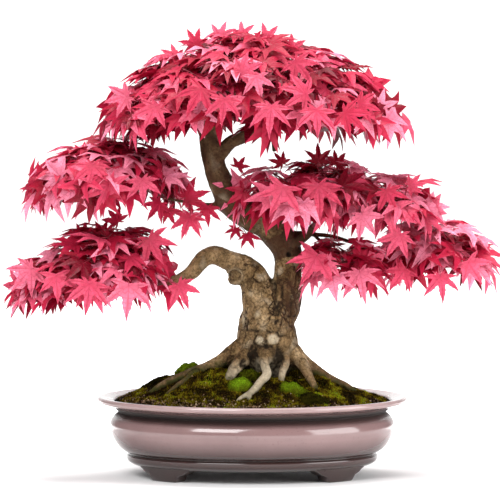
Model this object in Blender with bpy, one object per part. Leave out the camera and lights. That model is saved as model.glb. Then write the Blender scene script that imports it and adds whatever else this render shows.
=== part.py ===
# Deshojo Japanese maple bonsai in an oval glazed pot.
# Lengths are in millimetres and become metres when a mesh is made. +X is to the
# right of the tree's front, -Y is its front, +Z is up, and the pot stands on z = 0.
import math
import random

import bmesh
import bpy
from mathutils import Matrix, Vector
from mathutils.bvhtree import BVHTree

MM = 0.001
GAP = 0.3
CUT_PAST = 3.0
SMOOTH_ANGLE = 35.0

# Pot: profiles are (inset from the rim's outline, height)
POT_LENGTH = 311.0
POT_WIDTH = 236.0
POT_SIDES = 28
POT_BASE_Z = 13.0
POT_FLOOR_Z = 22.0
RIM_WIDTH = 16.0
POT_OUTSIDE = (
    (42.0, POT_BASE_Z),
    (37.0, POT_BASE_Z),
    (30.4, 16.5),
    (28.9, 21.7),
    (31.5, 24.2),
    (27.5, 25.6),
    (21.5, 30.5),
    (16.5, 38.0),
    (12.8, 48.0),
    (12.8, 55.0),
    (16.5, 61.5),
    (22.5, 65.5),
    (19.0, 67.2),
    (19.0, 70.2),
    (12.0, 72.0),
    (1.4, 75.0),
    (0.0, 77.8),
    (1.8, 81.0),
    (RIM_WIDTH, 78.0),
)
POT_INSIDE = (
    (16.8, 73.6),
    (28.5, 66.5),
    (22.0, 52.0),
    (27.0, 36.0),
    (40.0, POT_FLOOR_Z),
)
FOOT_X = 93.0
FOOT_OUTLINE = ((0.0, 0.0), (15.8, 0.0), (18.4, 6.0), (26.0, 8.6), (28.0, 10.6), (33.0, 12.4))
FOOT_TOP_Z = POT_BASE_Z + 3.5
FOOT_INSET_TOP = 34.0
FOOT_INSET_BOTTOM = 39.0
FOOT_DEPTH = 15.0
DRAIN_X = 60.0
DRAIN_RADIUS = 9.0
DRAIN_SIDES = 12
SCREEN_SIZE = 27.0
SCREEN_THICKNESS = 1.2
SCREEN_OPENINGS = 2
SCREEN_BAR = 2.6

# Soil mound
SOIL_EDGE_Z = 75.4
SOIL_EDGE_GAP = 1.0
SOIL_RINGS = (0.93, 0.83, 0.71, 0.58, 0.43, 0.24)
MOUND_CENTRE_X = -12.0
MOUND_RISE = 24.0
MOUND_POWER = 2.2
HUMP_CENTRE = (-35.0, -5.0)
HUMP_SPREAD = (62.0, 50.0)
HUMP_RISE = 11.0
HUMP_FADE = 4
ROOT_HOLE_GAP = 0.4

# Moss cushions: centre x, centre y, half length, half width, height
MOSS = (
    (-12.0, -57.0, 9.5, 7.5, 9.0),
    (41.0, -55.0, 12.0, 8.0, 8.5),
    (-3.0, -37.0, 8.0, 6.0, 8.0),
    (-66.0, 10.0, 12.0, 9.0, 9.5),
    (-97.0, 14.0, 15.0, 10.0, 6.5),
    (60.0, -68.0, 16.0, 9.0, 5.5),
    (-22.0, 64.0, 15.0, 10.0, 7.5),
    (42.0, 62.0, 14.0, 9.0, 7.0),
)
MOSS_SIDES = 8
MOSS_GAP = 0.5
MOSS_PROFILE = ((1.0, 0.0), (0.92, 0.55), (0.5, 0.95))

# Wood: each route is x, y, z, radius, from the inside of what carries it outwards
TRUNK_CORE = (
    (14.0, 0.0, 72.0, 17.0),
    (14.0, 0.0, 98.0, 22.0),
    (14.5, 0.0, 110.0, 25.0),
    (15.0, 0.0, 121.0, 29.5),
    (15.0, 0.0, 132.0, 31.0),
    (14.5, 0.0, 142.0, 30.0),
    (15.0, 0.0, 154.0, 28.0),
    (18.0, 0.0, 166.0, 25.5),
    (21.0, 0.0, 178.0, 22.0),
    (23.0, 0.0, 188.0, 13.0),
)
MAIN_STEM = (
    (24.0, 0.0, 152.0, 16.0),
    (31.0, 0.0, 172.0, 17.5),
    (34.5, 0.0, 187.0, 16.0),
    (36.0, 1.0, 207.0, 14.0),
    (36.4, 2.0, 219.5, 14.2),
    (32.0, 3.0, 233.0, 15.0),
    (17.0, 4.0, 252.5, 16.5),
    (-2.0, 4.0, 264.0, 16.5),
    (-20.0, 3.0, 275.0, 14.5),
    (-28.0, 1.0, 289.8, 13.3),
    (-34.5, 0.0, 303.0, 12.0),
    (-39.0, 0.0, 318.0, 11.0),
    (-42.5, 1.0, 332.0, 10.0),
    (-44.0, 3.0, 343.0, 9.4),
    (-41.0, 5.0, 355.0, 8.5),
    (-30.0, 6.0, 373.0, 7.4),
    (-13.0, 6.0, 392.0, 6.0),
)
LEFT_STEM = (
    (9.0, 0.0, 150.0, 15.0),
    (7.0, -1.0, 174.0, 17.5),
    (5.0, -2.0, 191.0, 16.5),
    (-2.0, -3.0, 204.0, 14.5),
    (-11.5, -4.0, 212.0, 12.0),
    (-25.5, -6.0, 218.5, 10.2),
    (-36.0, -7.0, 222.8, 9.7),
    (-46.0, -9.0, 221.0, 9.0),
    (-53.5, -11.0, 213.8, 8.1),
    (-60.5, -13.0, 206.0, 7.4),
    (-69.5, -14.0, 200.5, 6.2),
    (-80.0, -15.0, 197.5, 5.2),
    (-91.0, -16.0, 196.0, 4.6),
)
LEFT_KNOT = (
    (-9.0, -5.0, 201.0, 9.5),
    (-17.0, -6.0, 200.5, 9.0),
    (-24.0, -6.5, 200.0, 7.0),
)
UPPER_RIGHT_LIMB = (
    (-36.0, 0.0, 319.0, 8.0),
    (-22.0, -1.0, 335.0, 6.6),
    (-10.0, -2.0, 340.5, 6.4),
    (14.0, -2.0, 353.0, 5.6),
    (38.0, 0.0, 366.0, 4.8),
    (62.0, 2.0, 375.0, 4.0),
)
DEAD_STUB = (
    (21.0, -2.0, 356.0, 3.6),
    (21.5, -4.0, 341.0, 3.0),
    (22.5, -5.0, 326.5, 2.6),
)
LEFT_MID_LIMB = (
    (-27.0, 2.0, 273.0, 4.0),
    (-40.0, 1.0, 272.8, 2.6),
    (-52.0, 0.0, 273.8, 2.2),
    (-67.0, -1.0, 275.8, 2.1),
    (-86.0, -2.0, 279.5, 2.0),
)
RIGHT_MID_LIMB = (
    (28.0, -2.0, 231.0, 8.0),
    (44.0, -6.0, 236.0, 5.4),
    (54.0, -10.0, 243.0, 4.8),
    (62.0, -14.0, 252.0, 4.4),
)
RIGHT_LOW_LIMB = (
    (34.0, 4.0, 242.0, 5.0),
    (48.0, 6.0, 243.5, 3.2),
    (64.0, 6.0, 242.5, 2.7),
    (81.0, 5.0, 240.5, 2.5),
    (100.0, 5.0, 234.5, 2.3),
    (119.0, 6.0, 228.5, 2.2),
    (133.0, 6.0, 225.0, 2.1),
    (150.0, 6.0, 224.5, 2.0),
)
CENTRE_LOW_LIMB = (
    (62.0, 6.0, 242.5, 2.4),
    (66.0, -4.0, 239.0, 2.2),
    (74.0, -14.0, 233.0, 2.0),
)
# Route, sides, depth of the lobes round the section, and the angle where they start
CORE_SECTION = (12, 0.045, 0.4)
WOOD = (
    (MAIN_STEM, 10, 0.05, 1.1),
    (LEFT_STEM, 9, 0.045, 2.0),
    (LEFT_KNOT, 8, 0.0, 0.0),
    (UPPER_RIGHT_LIMB, 7, 0.0, 0.0),
    (DEAD_STUB, 5, 0.0, 0.0),
    (LEFT_MID_LIMB, 5, 0.0, 0.0),
    (RIGHT_MID_LIMB, 6, 0.0, 0.0),
    (RIGHT_LOW_LIMB, 5, 0.0, 0.0),
    (CENTRE_LOW_LIMB, 5, 0.0, 0.0),
)
LOBE_TWIST = 0.45
LOBE_MIX = 0.6

# Roots start inside the trunk core and dive into the soil at their tips
ROOTS = (
    ((2.0, -4.0, 138.0, 12.0), (-18.0, -10.0, 125.5, 9.2), (-30.0, -14.0, 118.0, 7.0),
     (-42.0, -17.0, 112.5, 5.8), (-57.0, -20.0, 107.0, 5.2), (-70.0, -23.0, 102.5, 4.4),
     (-84.0, -26.0, 97.5, 3.6), (-96.0, -29.0, 91.0, 2.8), (-108.0, -31.0, 82.0, 2.0)),
    ((-54.0, -20.0, 107.0, 3.6), (-66.0, -33.0, 100.5, 3.0), (-76.0, -44.0, 95.0, 2.4),
     (-86.0, -52.0, 85.0, 1.8)),
    ((4.0, -12.0, 132.0, 9.0), (-9.0, -25.0, 120.5, 6.6), (-17.0, -34.0, 111.5, 5.0),
     (-23.0, -42.0, 104.0, 4.0), (-31.0, -50.0, 92.0, 3.0)),
    ((13.0, -14.0, 134.0, 11.0), (11.5, -27.0, 124.0, 7.0), (13.5, -36.0, 114.5, 4.9),
     (13.0, -43.0, 106.5, 4.4), (9.0, -52.0, 100.0, 4.4), (3.5, -61.0, 95.0, 4.1),
     (-2.0, -70.0, 90.5, 3.6), (-12.0, -79.0, 85.0, 2.5), (-20.0, -85.0, 76.0, 1.6)),
    ((-1.0, -69.0, 90.5, 2.6), (-3.0, -79.0, 85.5, 2.0), (-4.0, -87.0, 76.0, 1.4)),
    ((27.0, -14.0, 130.0, 8.0), (33.0, -26.0, 118.0, 5.0), (30.5, -34.0, 109.0, 3.8),
     (28.0, -41.0, 97.0, 3.0)),
    ((33.0, -7.0, 133.0, 12.0), (45.0, -13.0, 122.0, 7.6), (52.0, -19.0, 112.0, 5.2),
     (58.0, -27.0, 104.0, 4.2), (66.0, -37.0, 96.0, 3.4), (75.0, -48.0, 84.0, 2.6)),
    ((35.0, 2.0, 128.0, 10.0), (54.0, 3.0, 114.5, 6.6), (68.0, 3.0, 105.0, 5.0),
     (81.0, 2.0, 97.5, 4.0), (95.0, 0.0, 91.0, 3.2), (110.0, -3.0, 79.0, 2.0)),
    ((2.0, 10.0, 136.0, 12.0), (-12.0, 24.0, 121.0, 9.0), (-24.0, 36.0, 108.5, 6.6),
     (-38.0, 48.0, 98.0, 4.6), (-52.0, 57.0, 85.0, 2.8)),
    ((18.0, 13.0, 136.0, 12.0), (20.0, 30.0, 119.0, 8.6), (18.0, 44.0, 105.0, 6.0),
     (12.0, 58.0, 94.5, 4.2), (8.0, 70.0, 82.0, 2.6)),
    ((30.0, 9.0, 134.0, 11.0), (44.0, 24.0, 116.0, 8.0), (56.0, 35.0, 101.5, 5.4),
     (68.0, 44.0, 91.0, 3.8), (80.0, 52.0, 80.0, 2.4)),
)
ROOT_SIDES = 6
ROOT_LOBES = 0.05

# Leaf: lobes are (angle from the middle lobe, share of the reach), right to left
LEAF_LOBES = ((102.0, 0.62), (51.0, 0.92), (0.0, 1.0), (-51.0, 0.92), (-102.0, 0.62))
LEAF_REACH = 36.0
LEAF_REACH_SPREAD = (0.86, 1.1)
LEAF_NOTCH = 0.41
LEAF_NOTCH_DROP = 0.9
LEAF_BASE = (1.2, -5.0)
LEAF_BASE_DROP = 0.4
LEAF_THICKNESS = 0.8
LEAF_DROOP = 5.5
LEAF_DROOP_SPREAD = (0.5, 1.3)
LOBE_LENGTH_SPREAD = (0.94, 1.06)
LOBE_ANGLE_SPREAD = 4.0
# Triangles of a leaf's top face, by corner: the five lobes, the palm, the stalk
LEAF_TOP = ((0, 1, 2), (2, 3, 4), (4, 5, 6), (6, 7, 8), (8, 9, 10),
            (4, 6, 10), (4, 10, 0), (2, 4, 0), (6, 8, 10), (10, 11, 0))
STALK_SINK = 0.4
STALK_SPAN = (8.0, 50.0)
STALK_STEP = 7.0
STALK_STRAIGHTNESS = (0.22, 0.75)
STALK_LENGTH_COST = 0.5
STALK_FREE = 2.5

# How a leaf lies on its dome, and how it is tried again where it would cross something
LEAF_SEED = 11
LEAF_TRIES = 34
LOOSER_EACH_TRY = 0.22
ROUND_SPREAD = 3.0
LEAN_SPREAD = 2.5
LEAN_PAST_EDGE = 6.0
LEAF_LIFT = (10.0, 20.0)
LEAF_LIFT_SPREAD = 5.0
RIM_LIFT = 22.0
RIM_LIFT_POWER = 4
LEAF_SPIN = 16.0
LEAF_SINK = 6.0
LEAF_SETBACK = 0.45
CLEAR_THICKNESS = 2.4
CLEAR_SCALE = 1.05
CLEAR_OF_SHOOT = 0.6
RING_SPACING = 0.9
FIRST_RING = 0.55

# Domes that the leaves cover: centre, half sizes, steepest angle from the top, leaf spacing,
# how much of a cone they are, their rise along X, and the sprays that may carry their leaves
DOMES = {
    "crown": ((2.0, 2.0, 348.0), (160.0, 130.0, 100.0), 86.0, 35.0, 0.5, 0.0,
              ("crown_leaves", "upper_right_leaves")),
    "left_mid": ((-146.0, 6.0, 286.0), (78.0, 66.0, 54.0), 86.0, 34.0, 0.3, 0.06,
                 ("left_mid_leaves",)),
    "left_low": ((-160.0, -16.0, 188.0), (82.0, 68.0, 68.0), 85.0, 34.0, 0.4, 0.12,
                 ("left_low_leaves",)),
    "right_mid": ((34.0, -28.0, 274.0), (48.0, 50.0, 44.0), 84.0, 35.0, 0.2, 0.06,
                  ("right_mid_leaves",)),
    "right_centre": ((76.0, -14.0, 274.0), (42.0, 50.0, 52.0), 84.0, 35.0, 0.2, 0.0,
                     ("right_mid_leaves",)),
    "right_outer": ((128.0, -6.0, 264.0), (50.0, 52.0, 40.0), 86.0, 35.0, 0.2, -0.08,
                    ("right_mid_leaves",)),
    "right_low": ((188.0, 8.0, 212.0), (52.0, 52.0, 46.0), 86.0, 35.0, 0.4, -0.16,
                  ("right_low_leaves",)),
    "centre_low": ((84.0, -24.0, 209.0), (36.0, 26.0, 24.0), 80.0, 30.0, 0.2, 0.0,
                   ("centre_low_leaves",)),
}

# Sprays: the limb each continues, the hub that its shoots spread from, and the shoots' ends as
# dome, angle round it and angle from its top
SPRAYS = {
    "crown_leaves": (MAIN_STEM, (-6.0, 5.0, 409.0), {
        "crown": ((75.0, 78.0), (112.0, 80.0), (142.0, 82.0), (168.0, 82.0), (194.0, 82.0),
                  (221.0, 82.0), (250.0, 80.0), (283.0, 78.0), (150.0, 42.0), (215.0, 42.0),
                  (90.0, 36.0), (270.0, 40.0), (5.0, 26.0)),
    }),
    "upper_right_leaves": (UPPER_RIGHT_LIMB, (76.0, 2.0, 380.0), {
        "crown": ((315.0, 80.0), (343.0, 82.0), (10.0, 82.0), (38.0, 80.0), (335.0, 45.0),
                  (30.0, 42.0)),
    }),
    "left_mid_leaves": (LEFT_MID_LIMB, (-118.0, 0.0, 296.0), {
        "left_mid": ((60.0, 76.0), (105.0, 80.0), (150.0, 82.0), (185.0, 82.0), (225.0, 80.0),
                     (268.0, 80.0), (312.0, 74.0), (170.0, 34.0), (300.0, 20.0)),
    }),
    "left_low_leaves": (LEFT_STEM, (-122.0, -18.0, 205.0), {
        "left_low": ((55.0, 74.0), (100.0, 80.0), (145.0, 82.0), (182.0, 82.0), (220.0, 80.0),
                     (260.0, 80.0), (304.0, 76.0), (175.0, 36.0), (320.0, 20.0)),
    }),
    "right_mid_leaves": (RIGHT_MID_LIMB, (66.0, -16.0, 270.0), {
        "right_mid": ((95.0, 66.0), (150.0, 48.0), (205.0, 62.0), (245.0, 78.0), (290.0, 78.0),
                      (170.0, 20.0)),
        "right_centre": ((90.0, 70.0), (270.0, 72.0), (0.0, 20.0)),
        "right_outer": ((40.0, 76.0), (95.0, 74.0), (300.0, 78.0), (340.0, 80.0), (250.0, 72.0),
                        (0.0, 40.0)),
    }),
    "right_low_leaves": (RIGHT_LOW_LIMB, (172.0, 6.0, 226.0), {
        "right_low": ((50.0, 78.0), (100.0, 78.0), (165.0, 66.0), (215.0, 70.0), (265.0, 78.0),
                      (315.0, 80.0), (0.0, 82.0), (20.0, 30.0)),
    }),
    "centre_low_leaves": (CENTRE_LOW_LIMB, (84.0, -24.0, 214.0), {
        "centre_low": ((20.0, 66.0), (160.0, 66.0), (220.0, 70.0), (300.0, 70.0)),
    }),
}
SHOOT_DEPTH = 0.77
SHOOT_ARCH = 0.62
SHOOT_ROOT_RADIUS = 2.3
SHOOT_TIP_RADIUS = 1.1
SHOOT_SIDES = 3
SHOOT_STEPS = 3
STEM_SIDES = 5
STEM_STRAIGHT = (8.0, 0.4)
STEM_TAPER = (0.9, 0.75)
STEM_OVER_SHOOTS = 0.4


def material(name, colour, roughness, metallic=0.0):
    """A Principled material of one colour."""
    made = bpy.data.materials.new(name)
    made.use_nodes = True
    made.diffuse_color = (*colour, 1.0)
    shader = made.node_tree.nodes["Principled BSDF"]
    shader.inputs["Base Color"].default_value = (*colour, 1.0)
    shader.inputs["Roughness"].default_value = roughness
    shader.inputs["Metallic"].default_value = metallic
    return made


def solid(name, points, faces, finish=None):
    """An object from points in millimetres, its faces turned outwards."""
    mesh = bpy.data.meshes.new(name)
    mesh.from_pydata([Vector(point) * MM for point in points], [], faces)
    shape = bmesh.new()
    shape.from_mesh(mesh)
    bmesh.ops.recalc_face_normals(shape, faces=shape.faces)
    shape.to_mesh(mesh)
    shape.free()
    made = bpy.data.objects.new(name, mesh)
    bpy.context.scene.collection.objects.link(made)
    if finish is not None:
        mesh.materials.append(finish)
    return made


def skin(rings):
    """Faces that join equal rings of points, in order, with a flat cap on each end."""
    count = len(rings[0])
    points = [point for ring in rings for point in ring]
    faces = [tuple(reversed(range(count)))]
    for row in range(len(rings) - 1):
        for side in range(count):
            after = (side + 1) % count
            low = row * count
            high = low + count
            faces.append((low + side, low + after, high + after, high + side))
    last = (len(rings) - 1) * count
    faces.append(tuple(range(last, last + count)))
    return points, faces


def combine(base, others, operation):
    """Applies one Boolean of a collection of solids to base and removes the collection."""
    tools = bpy.data.collections.new(base.name + "_tools")
    bpy.context.scene.collection.children.link(tools)
    for other in others:
        bpy.context.scene.collection.objects.unlink(other)
        tools.objects.link(other)
    step = base.modifiers.new("combine", "BOOLEAN")
    step.operation = operation
    step.operand_type = "COLLECTION"
    step.collection = tools
    bpy.context.view_layer.update()
    view = bpy.context.evaluated_depsgraph_get()
    result = bpy.data.meshes.new_from_object(base.evaluated_get(view))
    base.modifiers.remove(step)
    result.name = base.name
    base.data = result
    for other in list(tools.objects):
        bpy.data.objects.remove(other)
    bpy.data.collections.remove(tools)
    return base


def keep_largest(item):
    """Drops any loose scrap of an object's mesh."""
    shape = bmesh.new()
    shape.from_mesh(item.data)
    left = set(shape.verts)
    bodies = []
    while left:
        body = {left.pop()}
        frontier = list(body)
        while frontier:
            for edge in frontier.pop().link_edges:
                for vert in edge.verts:
                    if vert in left:
                        left.remove(vert)
                        body.add(vert)
                        frontier.append(vert)
        bodies.append(body)
    largest = max(bodies, key=len)
    scraps = [vert for vert in shape.verts if vert not in largest]
    bmesh.ops.delete(shape, geom=scraps, context="VERTS")
    shape.to_mesh(item.data)
    shape.free()
    return item


def box(name, low, high, finish=None):
    """A box between two corners."""
    rings = []
    for z in (low[2], high[2]):
        rings.append([(low[0], low[1], z), (high[0], low[1], z), (high[0], high[1], z),
                      (low[0], high[1], z)])
    return solid(name, *skin(rings), finish)


def oval_point(angle, inset, z):
    """A point of the pot's oval, moved in from the rim's outline along its normal."""
    half_length = POT_LENGTH / 2
    half_width = POT_WIDTH / 2
    out = Vector((half_width * math.cos(angle), half_length * math.sin(angle), 0)).normalized()
    edge = Vector((half_length * math.cos(angle), half_width * math.sin(angle), z))
    return edge - out * inset


def oval_ring(inset, z):
    """The pot's outline at one inset and height."""
    return [oval_point(math.tau * side / POT_SIDES, inset, z) for side in range(POT_SIDES)]


def foot(side_x, side_y):
    """One cloud-shaped foot, bent along the pot's oval. The sides are 1 or -1."""
    middle = math.acos(FOOT_X / (POT_LENGTH / 2 - FOOT_INSET_TOP))
    mean_radius = (POT_LENGTH + POT_WIDTH) / 4 - FOOT_INSET_TOP
    inner = FOOT_INSET_BOTTOM + FOOT_DEPTH
    columns = [(-along, z) for along, z in reversed(FOOT_OUTLINE[1:])] + list(FOOT_OUTLINE)
    rings = []
    for along, z in columns:
        angle = middle - along / mean_radius
        outer = FOOT_INSET_BOTTOM + (FOOT_INSET_TOP - FOOT_INSET_BOTTOM) * z / FOOT_TOP_Z
        rings.append([
            oval_point(angle, outer, z),
            oval_point(angle, FOOT_INSET_TOP, FOOT_TOP_Z),
            oval_point(angle, inner, FOOT_TOP_Z),
            oval_point(angle, inner, z),
        ])
    points, faces = skin(rings)
    points = [Vector((point.x * side_x, point.y * side_y, point.z)) for point in points]
    return solid("foot", points, faces)


def drain_cutter(x):
    """The bore of one drain hole."""
    rings = []
    for z in (POT_BASE_Z - CUT_PAST, POT_FLOOR_Z + CUT_PAST):
        ring = []
        for side in range(DRAIN_SIDES):
            angle = math.tau * side / DRAIN_SIDES
            ring.append((x + DRAIN_RADIUS * math.cos(angle), DRAIN_RADIUS * math.sin(angle), z))
        rings.append(ring)
    return solid("drain", *skin(rings))


def pot(glaze):
    """The oval pot: one shell with its rim, belly, foot ring, four feet and two drain holes."""
    profile = POT_OUTSIDE + POT_INSIDE
    body = solid("pot", *skin([oval_ring(inset, z) for inset, z in profile]), glaze)
    feet = [foot(side_x, side_y) for side_x in (-1, 1) for side_y in (-1, 1)]
    combine(body, feet, "UNION")
    return combine(body, [drain_cutter(x) for x in (-DRAIN_X, DRAIN_X)], "DIFFERENCE")


def drain_screen(name, x, plastic):
    """A square of plastic mesh that lies over a drain hole."""
    low = POT_FLOOR_Z + GAP
    high = low + SCREEN_THICKNESS
    half = SCREEN_SIZE / 2
    plate = box(name, (x - half, -half, low), (x + half, half, high), plastic)
    pitch = (SCREEN_SIZE - SCREEN_BAR) / SCREEN_OPENINGS
    size = pitch - SCREEN_BAR
    openings = []
    for column in range(SCREEN_OPENINGS):
        for row in range(SCREEN_OPENINGS):
            left = x - half + SCREEN_BAR + column * pitch
            front = -half + SCREEN_BAR + row * pitch
            openings.append(box("opening", (left, front, low - CUT_PAST),
                                (left + size, front + size, high + CUT_PAST)))
    return combine(plate, openings, "DIFFERENCE")


def soil_height(x, y):
    """The height of the soil mound's surface."""
    from_peak = x - MOUND_CENTRE_X
    reach_x = POT_LENGTH / 2 - RIM_WIDTH + math.copysign(-MOUND_CENTRE_X, from_peak)
    reach_y = POT_WIDTH / 2 - RIM_WIDTH
    far = min(math.hypot(from_peak / reach_x, y / reach_y), 1.0)
    hump_x = (x - HUMP_CENTRE[0]) / HUMP_SPREAD[0]
    hump_y = (y - HUMP_CENTRE[1]) / HUMP_SPREAD[1]
    hump = HUMP_RISE * math.exp(-hump_x ** 2 - hump_y ** 2) * (1 - far ** HUMP_FADE)
    return SOIL_EDGE_Z + MOUND_RISE * (1 - far ** MOUND_POWER) + hump


def soil(earth, hole_makers):
    """The mound that fills the pot, with plain holes for the trunk and its roots."""
    rings = [oval_ring(inset + GAP, z + GAP) for inset, z in reversed(POT_INSIDE)]
    edge = oval_ring(RIM_WIDTH + SOIL_EDGE_GAP, SOIL_EDGE_Z)
    rings.append(edge)
    for share in SOIL_RINGS:
        ring = []
        for point in edge:
            x = MOUND_CENTRE_X + (point.x - MOUND_CENTRE_X) * share
            y = point.y * share
            ring.append(Vector((x, y, soil_height(x, y))))
        rings.append(ring)
    mound = solid("soil", *skin(rings), earth)
    half = SCREEN_SIZE / 2 + GAP
    top = POT_FLOOR_Z + SCREEN_THICKNESS + 2 * GAP
    pockets = [box("pocket", (x - half, -half, POT_FLOOR_Z - CUT_PAST), (x + half, half, top))
               for x in (-DRAIN_X, DRAIN_X)]
    return combine(mound, pockets + hole_makers, "DIFFERENCE")


def moss_cushion(name, place, moss):
    """A domed clump of moss that rests on the soil's surface."""
    x, y, half_length, half_width, height = place
    rings = []
    for spread, rise in MOSS_PROFILE:
        ring = []
        for side in range(MOSS_SIDES):
            angle = math.tau * side / MOSS_SIDES
            at_x = x + half_length * spread * math.cos(angle)
            at_y = y + half_width * spread * math.sin(angle)
            ring.append(Vector((at_x, at_y, soil_height(at_x, at_y) + MOSS_GAP + height * rise)))
        rings.append(ring)
    return solid(name, *skin(rings), moss)


def tube(name, route, sides, grow=0.0, lobes=0.0, phase=0.0, finish=None):
    """A solid tube of changing radius along a route, longer and thicker by grow on all sides."""
    rings = []
    across = None
    last = len(route) - 1
    for index, stop in enumerate(route):
        ahead = Vector(route[min(index + 1, last)][:3])
        behind = Vector(route[max(index - 1, 0)][:3])
        along = (ahead - behind).normalized()
        middle = Vector(stop[:3]) + along * grow * ((index == last) - (index == 0))
        if across is None:
            across = along.orthogonal()
        across = (across - along * across.dot(along)).normalized()
        other = along.cross(across)
        ring = []
        for side in range(sides):
            angle = math.tau * side / sides
            swell = math.sin(3 * angle + phase + LOBE_TWIST * index)
            swell += LOBE_MIX * math.sin(2 * angle - phase)
            radius = stop[3] * (1 + lobes * swell) + grow
            ring.append(middle + (across * math.cos(angle) + other * math.sin(angle)) * radius)
        rings.append(ring)
    return solid(name, *skin(rings), finish)


def buried_wood(grow=0.0):
    """The trunk's core and the roots: the wood that stands in the soil."""
    sides, lobes, phase = CORE_SECTION
    parts = [tube("core", TRUNK_CORE, sides, grow, lobes, phase)]
    for index, route in enumerate(ROOTS):
        parts.append(tube("root", route, ROOT_SIDES, grow, ROOT_LOBES, index))
    return parts


def trunk(bark):
    """The trunk with its limbs and surface roots, grown as one piece."""
    parts = buried_wood()
    for route, sides, lobes, phase in WOOD:
        parts.append(tube("limb", route, sides, 0.0, lobes, phase))
    body = parts[0]
    body.name = "trunk"
    body.data.materials.append(bark)
    return combine(body, parts[1:], "UNION")


def leaf_outline(draw, reach):
    """Corners of a five-lobed leaf, from the right of its stalk round to the left."""
    corners = [Vector((LEAF_BASE[0], LEAF_BASE[1], -LEAF_BASE_DROP))]
    for index, (angle, length) in enumerate(LEAF_LOBES):
        if index > 0:
            between = math.radians((angle + LEAF_LOBES[index - 1][0]) / 2)
            notch = reach * LEAF_NOTCH
            corners.append(Vector((notch * math.sin(between), notch * math.cos(between),
                                   -LEAF_NOTCH_DROP)))
        turn = math.radians(angle + draw.uniform(-LOBE_ANGLE_SPREAD, LOBE_ANGLE_SPREAD))
        far = reach * length * draw.uniform(*LOBE_LENGTH_SPREAD)
        drop = LEAF_DROOP * length ** 2 * draw.uniform(*LEAF_DROOP_SPREAD)
        corners.append(Vector((far * math.sin(turn), far * math.cos(turn), -drop)))
    corners.append(Vector((-LEAF_BASE[0], LEAF_BASE[1], -LEAF_BASE_DROP)))
    return corners


def leaf_mesh(corners, place, stalk_end, thickness=LEAF_THICKNESS, scale=1.0):
    """Points and triangles of one leaf, whose stalk runs as a wedge to stalk_end."""
    turn = place.to_3x3()
    up = turn @ Vector((0, 0, thickness / 2))
    blade = [place @ (corner * scale) for corner in corners]
    side = turn @ Vector((1, 0, 0))
    away = stalk_end - (blade[0] + blade[-1]) / 2
    stalk_up = side.cross(away).normalized() * (thickness / 2)
    if stalk_up.dot(up) < 0:
        stalk_up.negate()
    top = [point + up for point in blade] + [stalk_end + stalk_up]
    bottom = [point - up for point in blade] + [stalk_end - stalk_up]
    count = len(top)
    faces = list(LEAF_TOP)
    faces += [tuple(corner + count for corner in reversed(face)) for face in LEAF_TOP]
    for here in range(count):
        after = (here + 1) % count
        faces.append((after, here, here + count))
        faces.append((after, here + count, after + count))
    return top + bottom, faces


def dome_place(dome, round_angle, lean_angle):
    """A dome's point at two angles in degrees, its outward normal and its downhill direction."""
    centre, half, _, _, cone, slope, _ = DOMES[dome]
    turn = math.radians(round_angle)
    lean = math.radians(lean_angle)
    out = (1 - cone) * math.sin(lean) + cone * lean / (math.pi / 2)
    way = Vector((out * math.cos(turn), out * math.sin(turn), math.cos(lean)))
    point = Vector((way.x * half[0], way.y * half[1], way.z * half[2]))
    point.z += slope * point.x
    point += Vector(centre)
    normal = Vector((way.x / half[0], way.y / half[1], way.z / half[2])).normalized()
    down = Vector((math.cos(lean) * math.cos(turn) * half[0],
                   math.cos(lean) * math.sin(turn) * half[1], -math.sin(lean) * half[2]))
    down = (down - normal * down.dot(normal)).normalized()
    return point, normal, down


def shoot_route(hub, dome, round_angle, lean_angle):
    """A shoot that arches from the hub to its end, under the dome."""
    centre = Vector(DOMES[dome][0])
    end = centre.lerp(dome_place(dome, round_angle, lean_angle)[0], SHOOT_DEPTH)
    bend = centre.lerp(dome_place(dome, round_angle, lean_angle * SHOOT_ARCH)[0], SHOOT_DEPTH)
    route = []
    for step in range(SHOOT_STEPS + 1):
        share = step / SHOOT_STEPS
        point = hub * (1 - share) ** 2 + bend * 2 * share * (1 - share) + end * share ** 2
        radius = SHOOT_ROOT_RADIUS + (SHOOT_TIP_RADIUS - SHOOT_ROOT_RADIUS) * share
        route.append((*point, radius))
    return route


def spray_routes(name):
    """Routes of one spray: the stem that continues its limb, then its shoots."""
    limb, hub, ends = SPRAYS[name]
    hub = Vector(hub)
    tip = Vector(limb[-1][:3])
    ahead = (tip - Vector(limb[-2][:3])).normalized()
    radius = limb[-1][3]
    start = tip + ahead * GAP
    bend = tip + ahead * min(STEM_STRAIGHT[0], (hub - tip).length * STEM_STRAIGHT[1])
    hub_radius = max(radius * STEM_TAPER[1], SHOOT_ROOT_RADIUS + STEM_OVER_SHOOTS)
    routes = [[(*start, radius), (*bend, radius * STEM_TAPER[0]), (*hub, hub_radius)]]
    for dome, angles in ends.items():
        routes += [shoot_route(hub, dome, *pair) for pair in angles]
    return routes


def stalk_roots(routes):
    """Points along the shoots' centre lines where a leaf stalk may start."""
    roots = []
    for route in routes[1:]:
        for here, after in zip(route[1:-1], route[2:]):
            start = Vector(here[:3])
            along = Vector(after[:3]) - start
            steps = max(2, round(along.length / STALK_STEP))
            roots += [start + along * ((step + 0.5) / steps) for step in range(steps)]
    return roots


def best_stalk_root(base, forward, roots):
    """The root that gives a leaf a short stalk which runs straight back from it, or None."""
    best = None
    best_score = -math.inf
    for root in roots:
        away = root - base
        length = away.length
        if not STALK_SPAN[0] < length < STALK_SPAN[1]:
            continue
        straight = -away.dot(forward) / length
        score = min(straight, STALK_STRAIGHTNESS[1]) - STALK_LENGTH_COST * length / STALK_SPAN[1]
        if straight > STALK_STRAIGHTNESS[0] and score > best_score:
            best = root
            best_score = score
    return best


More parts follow.
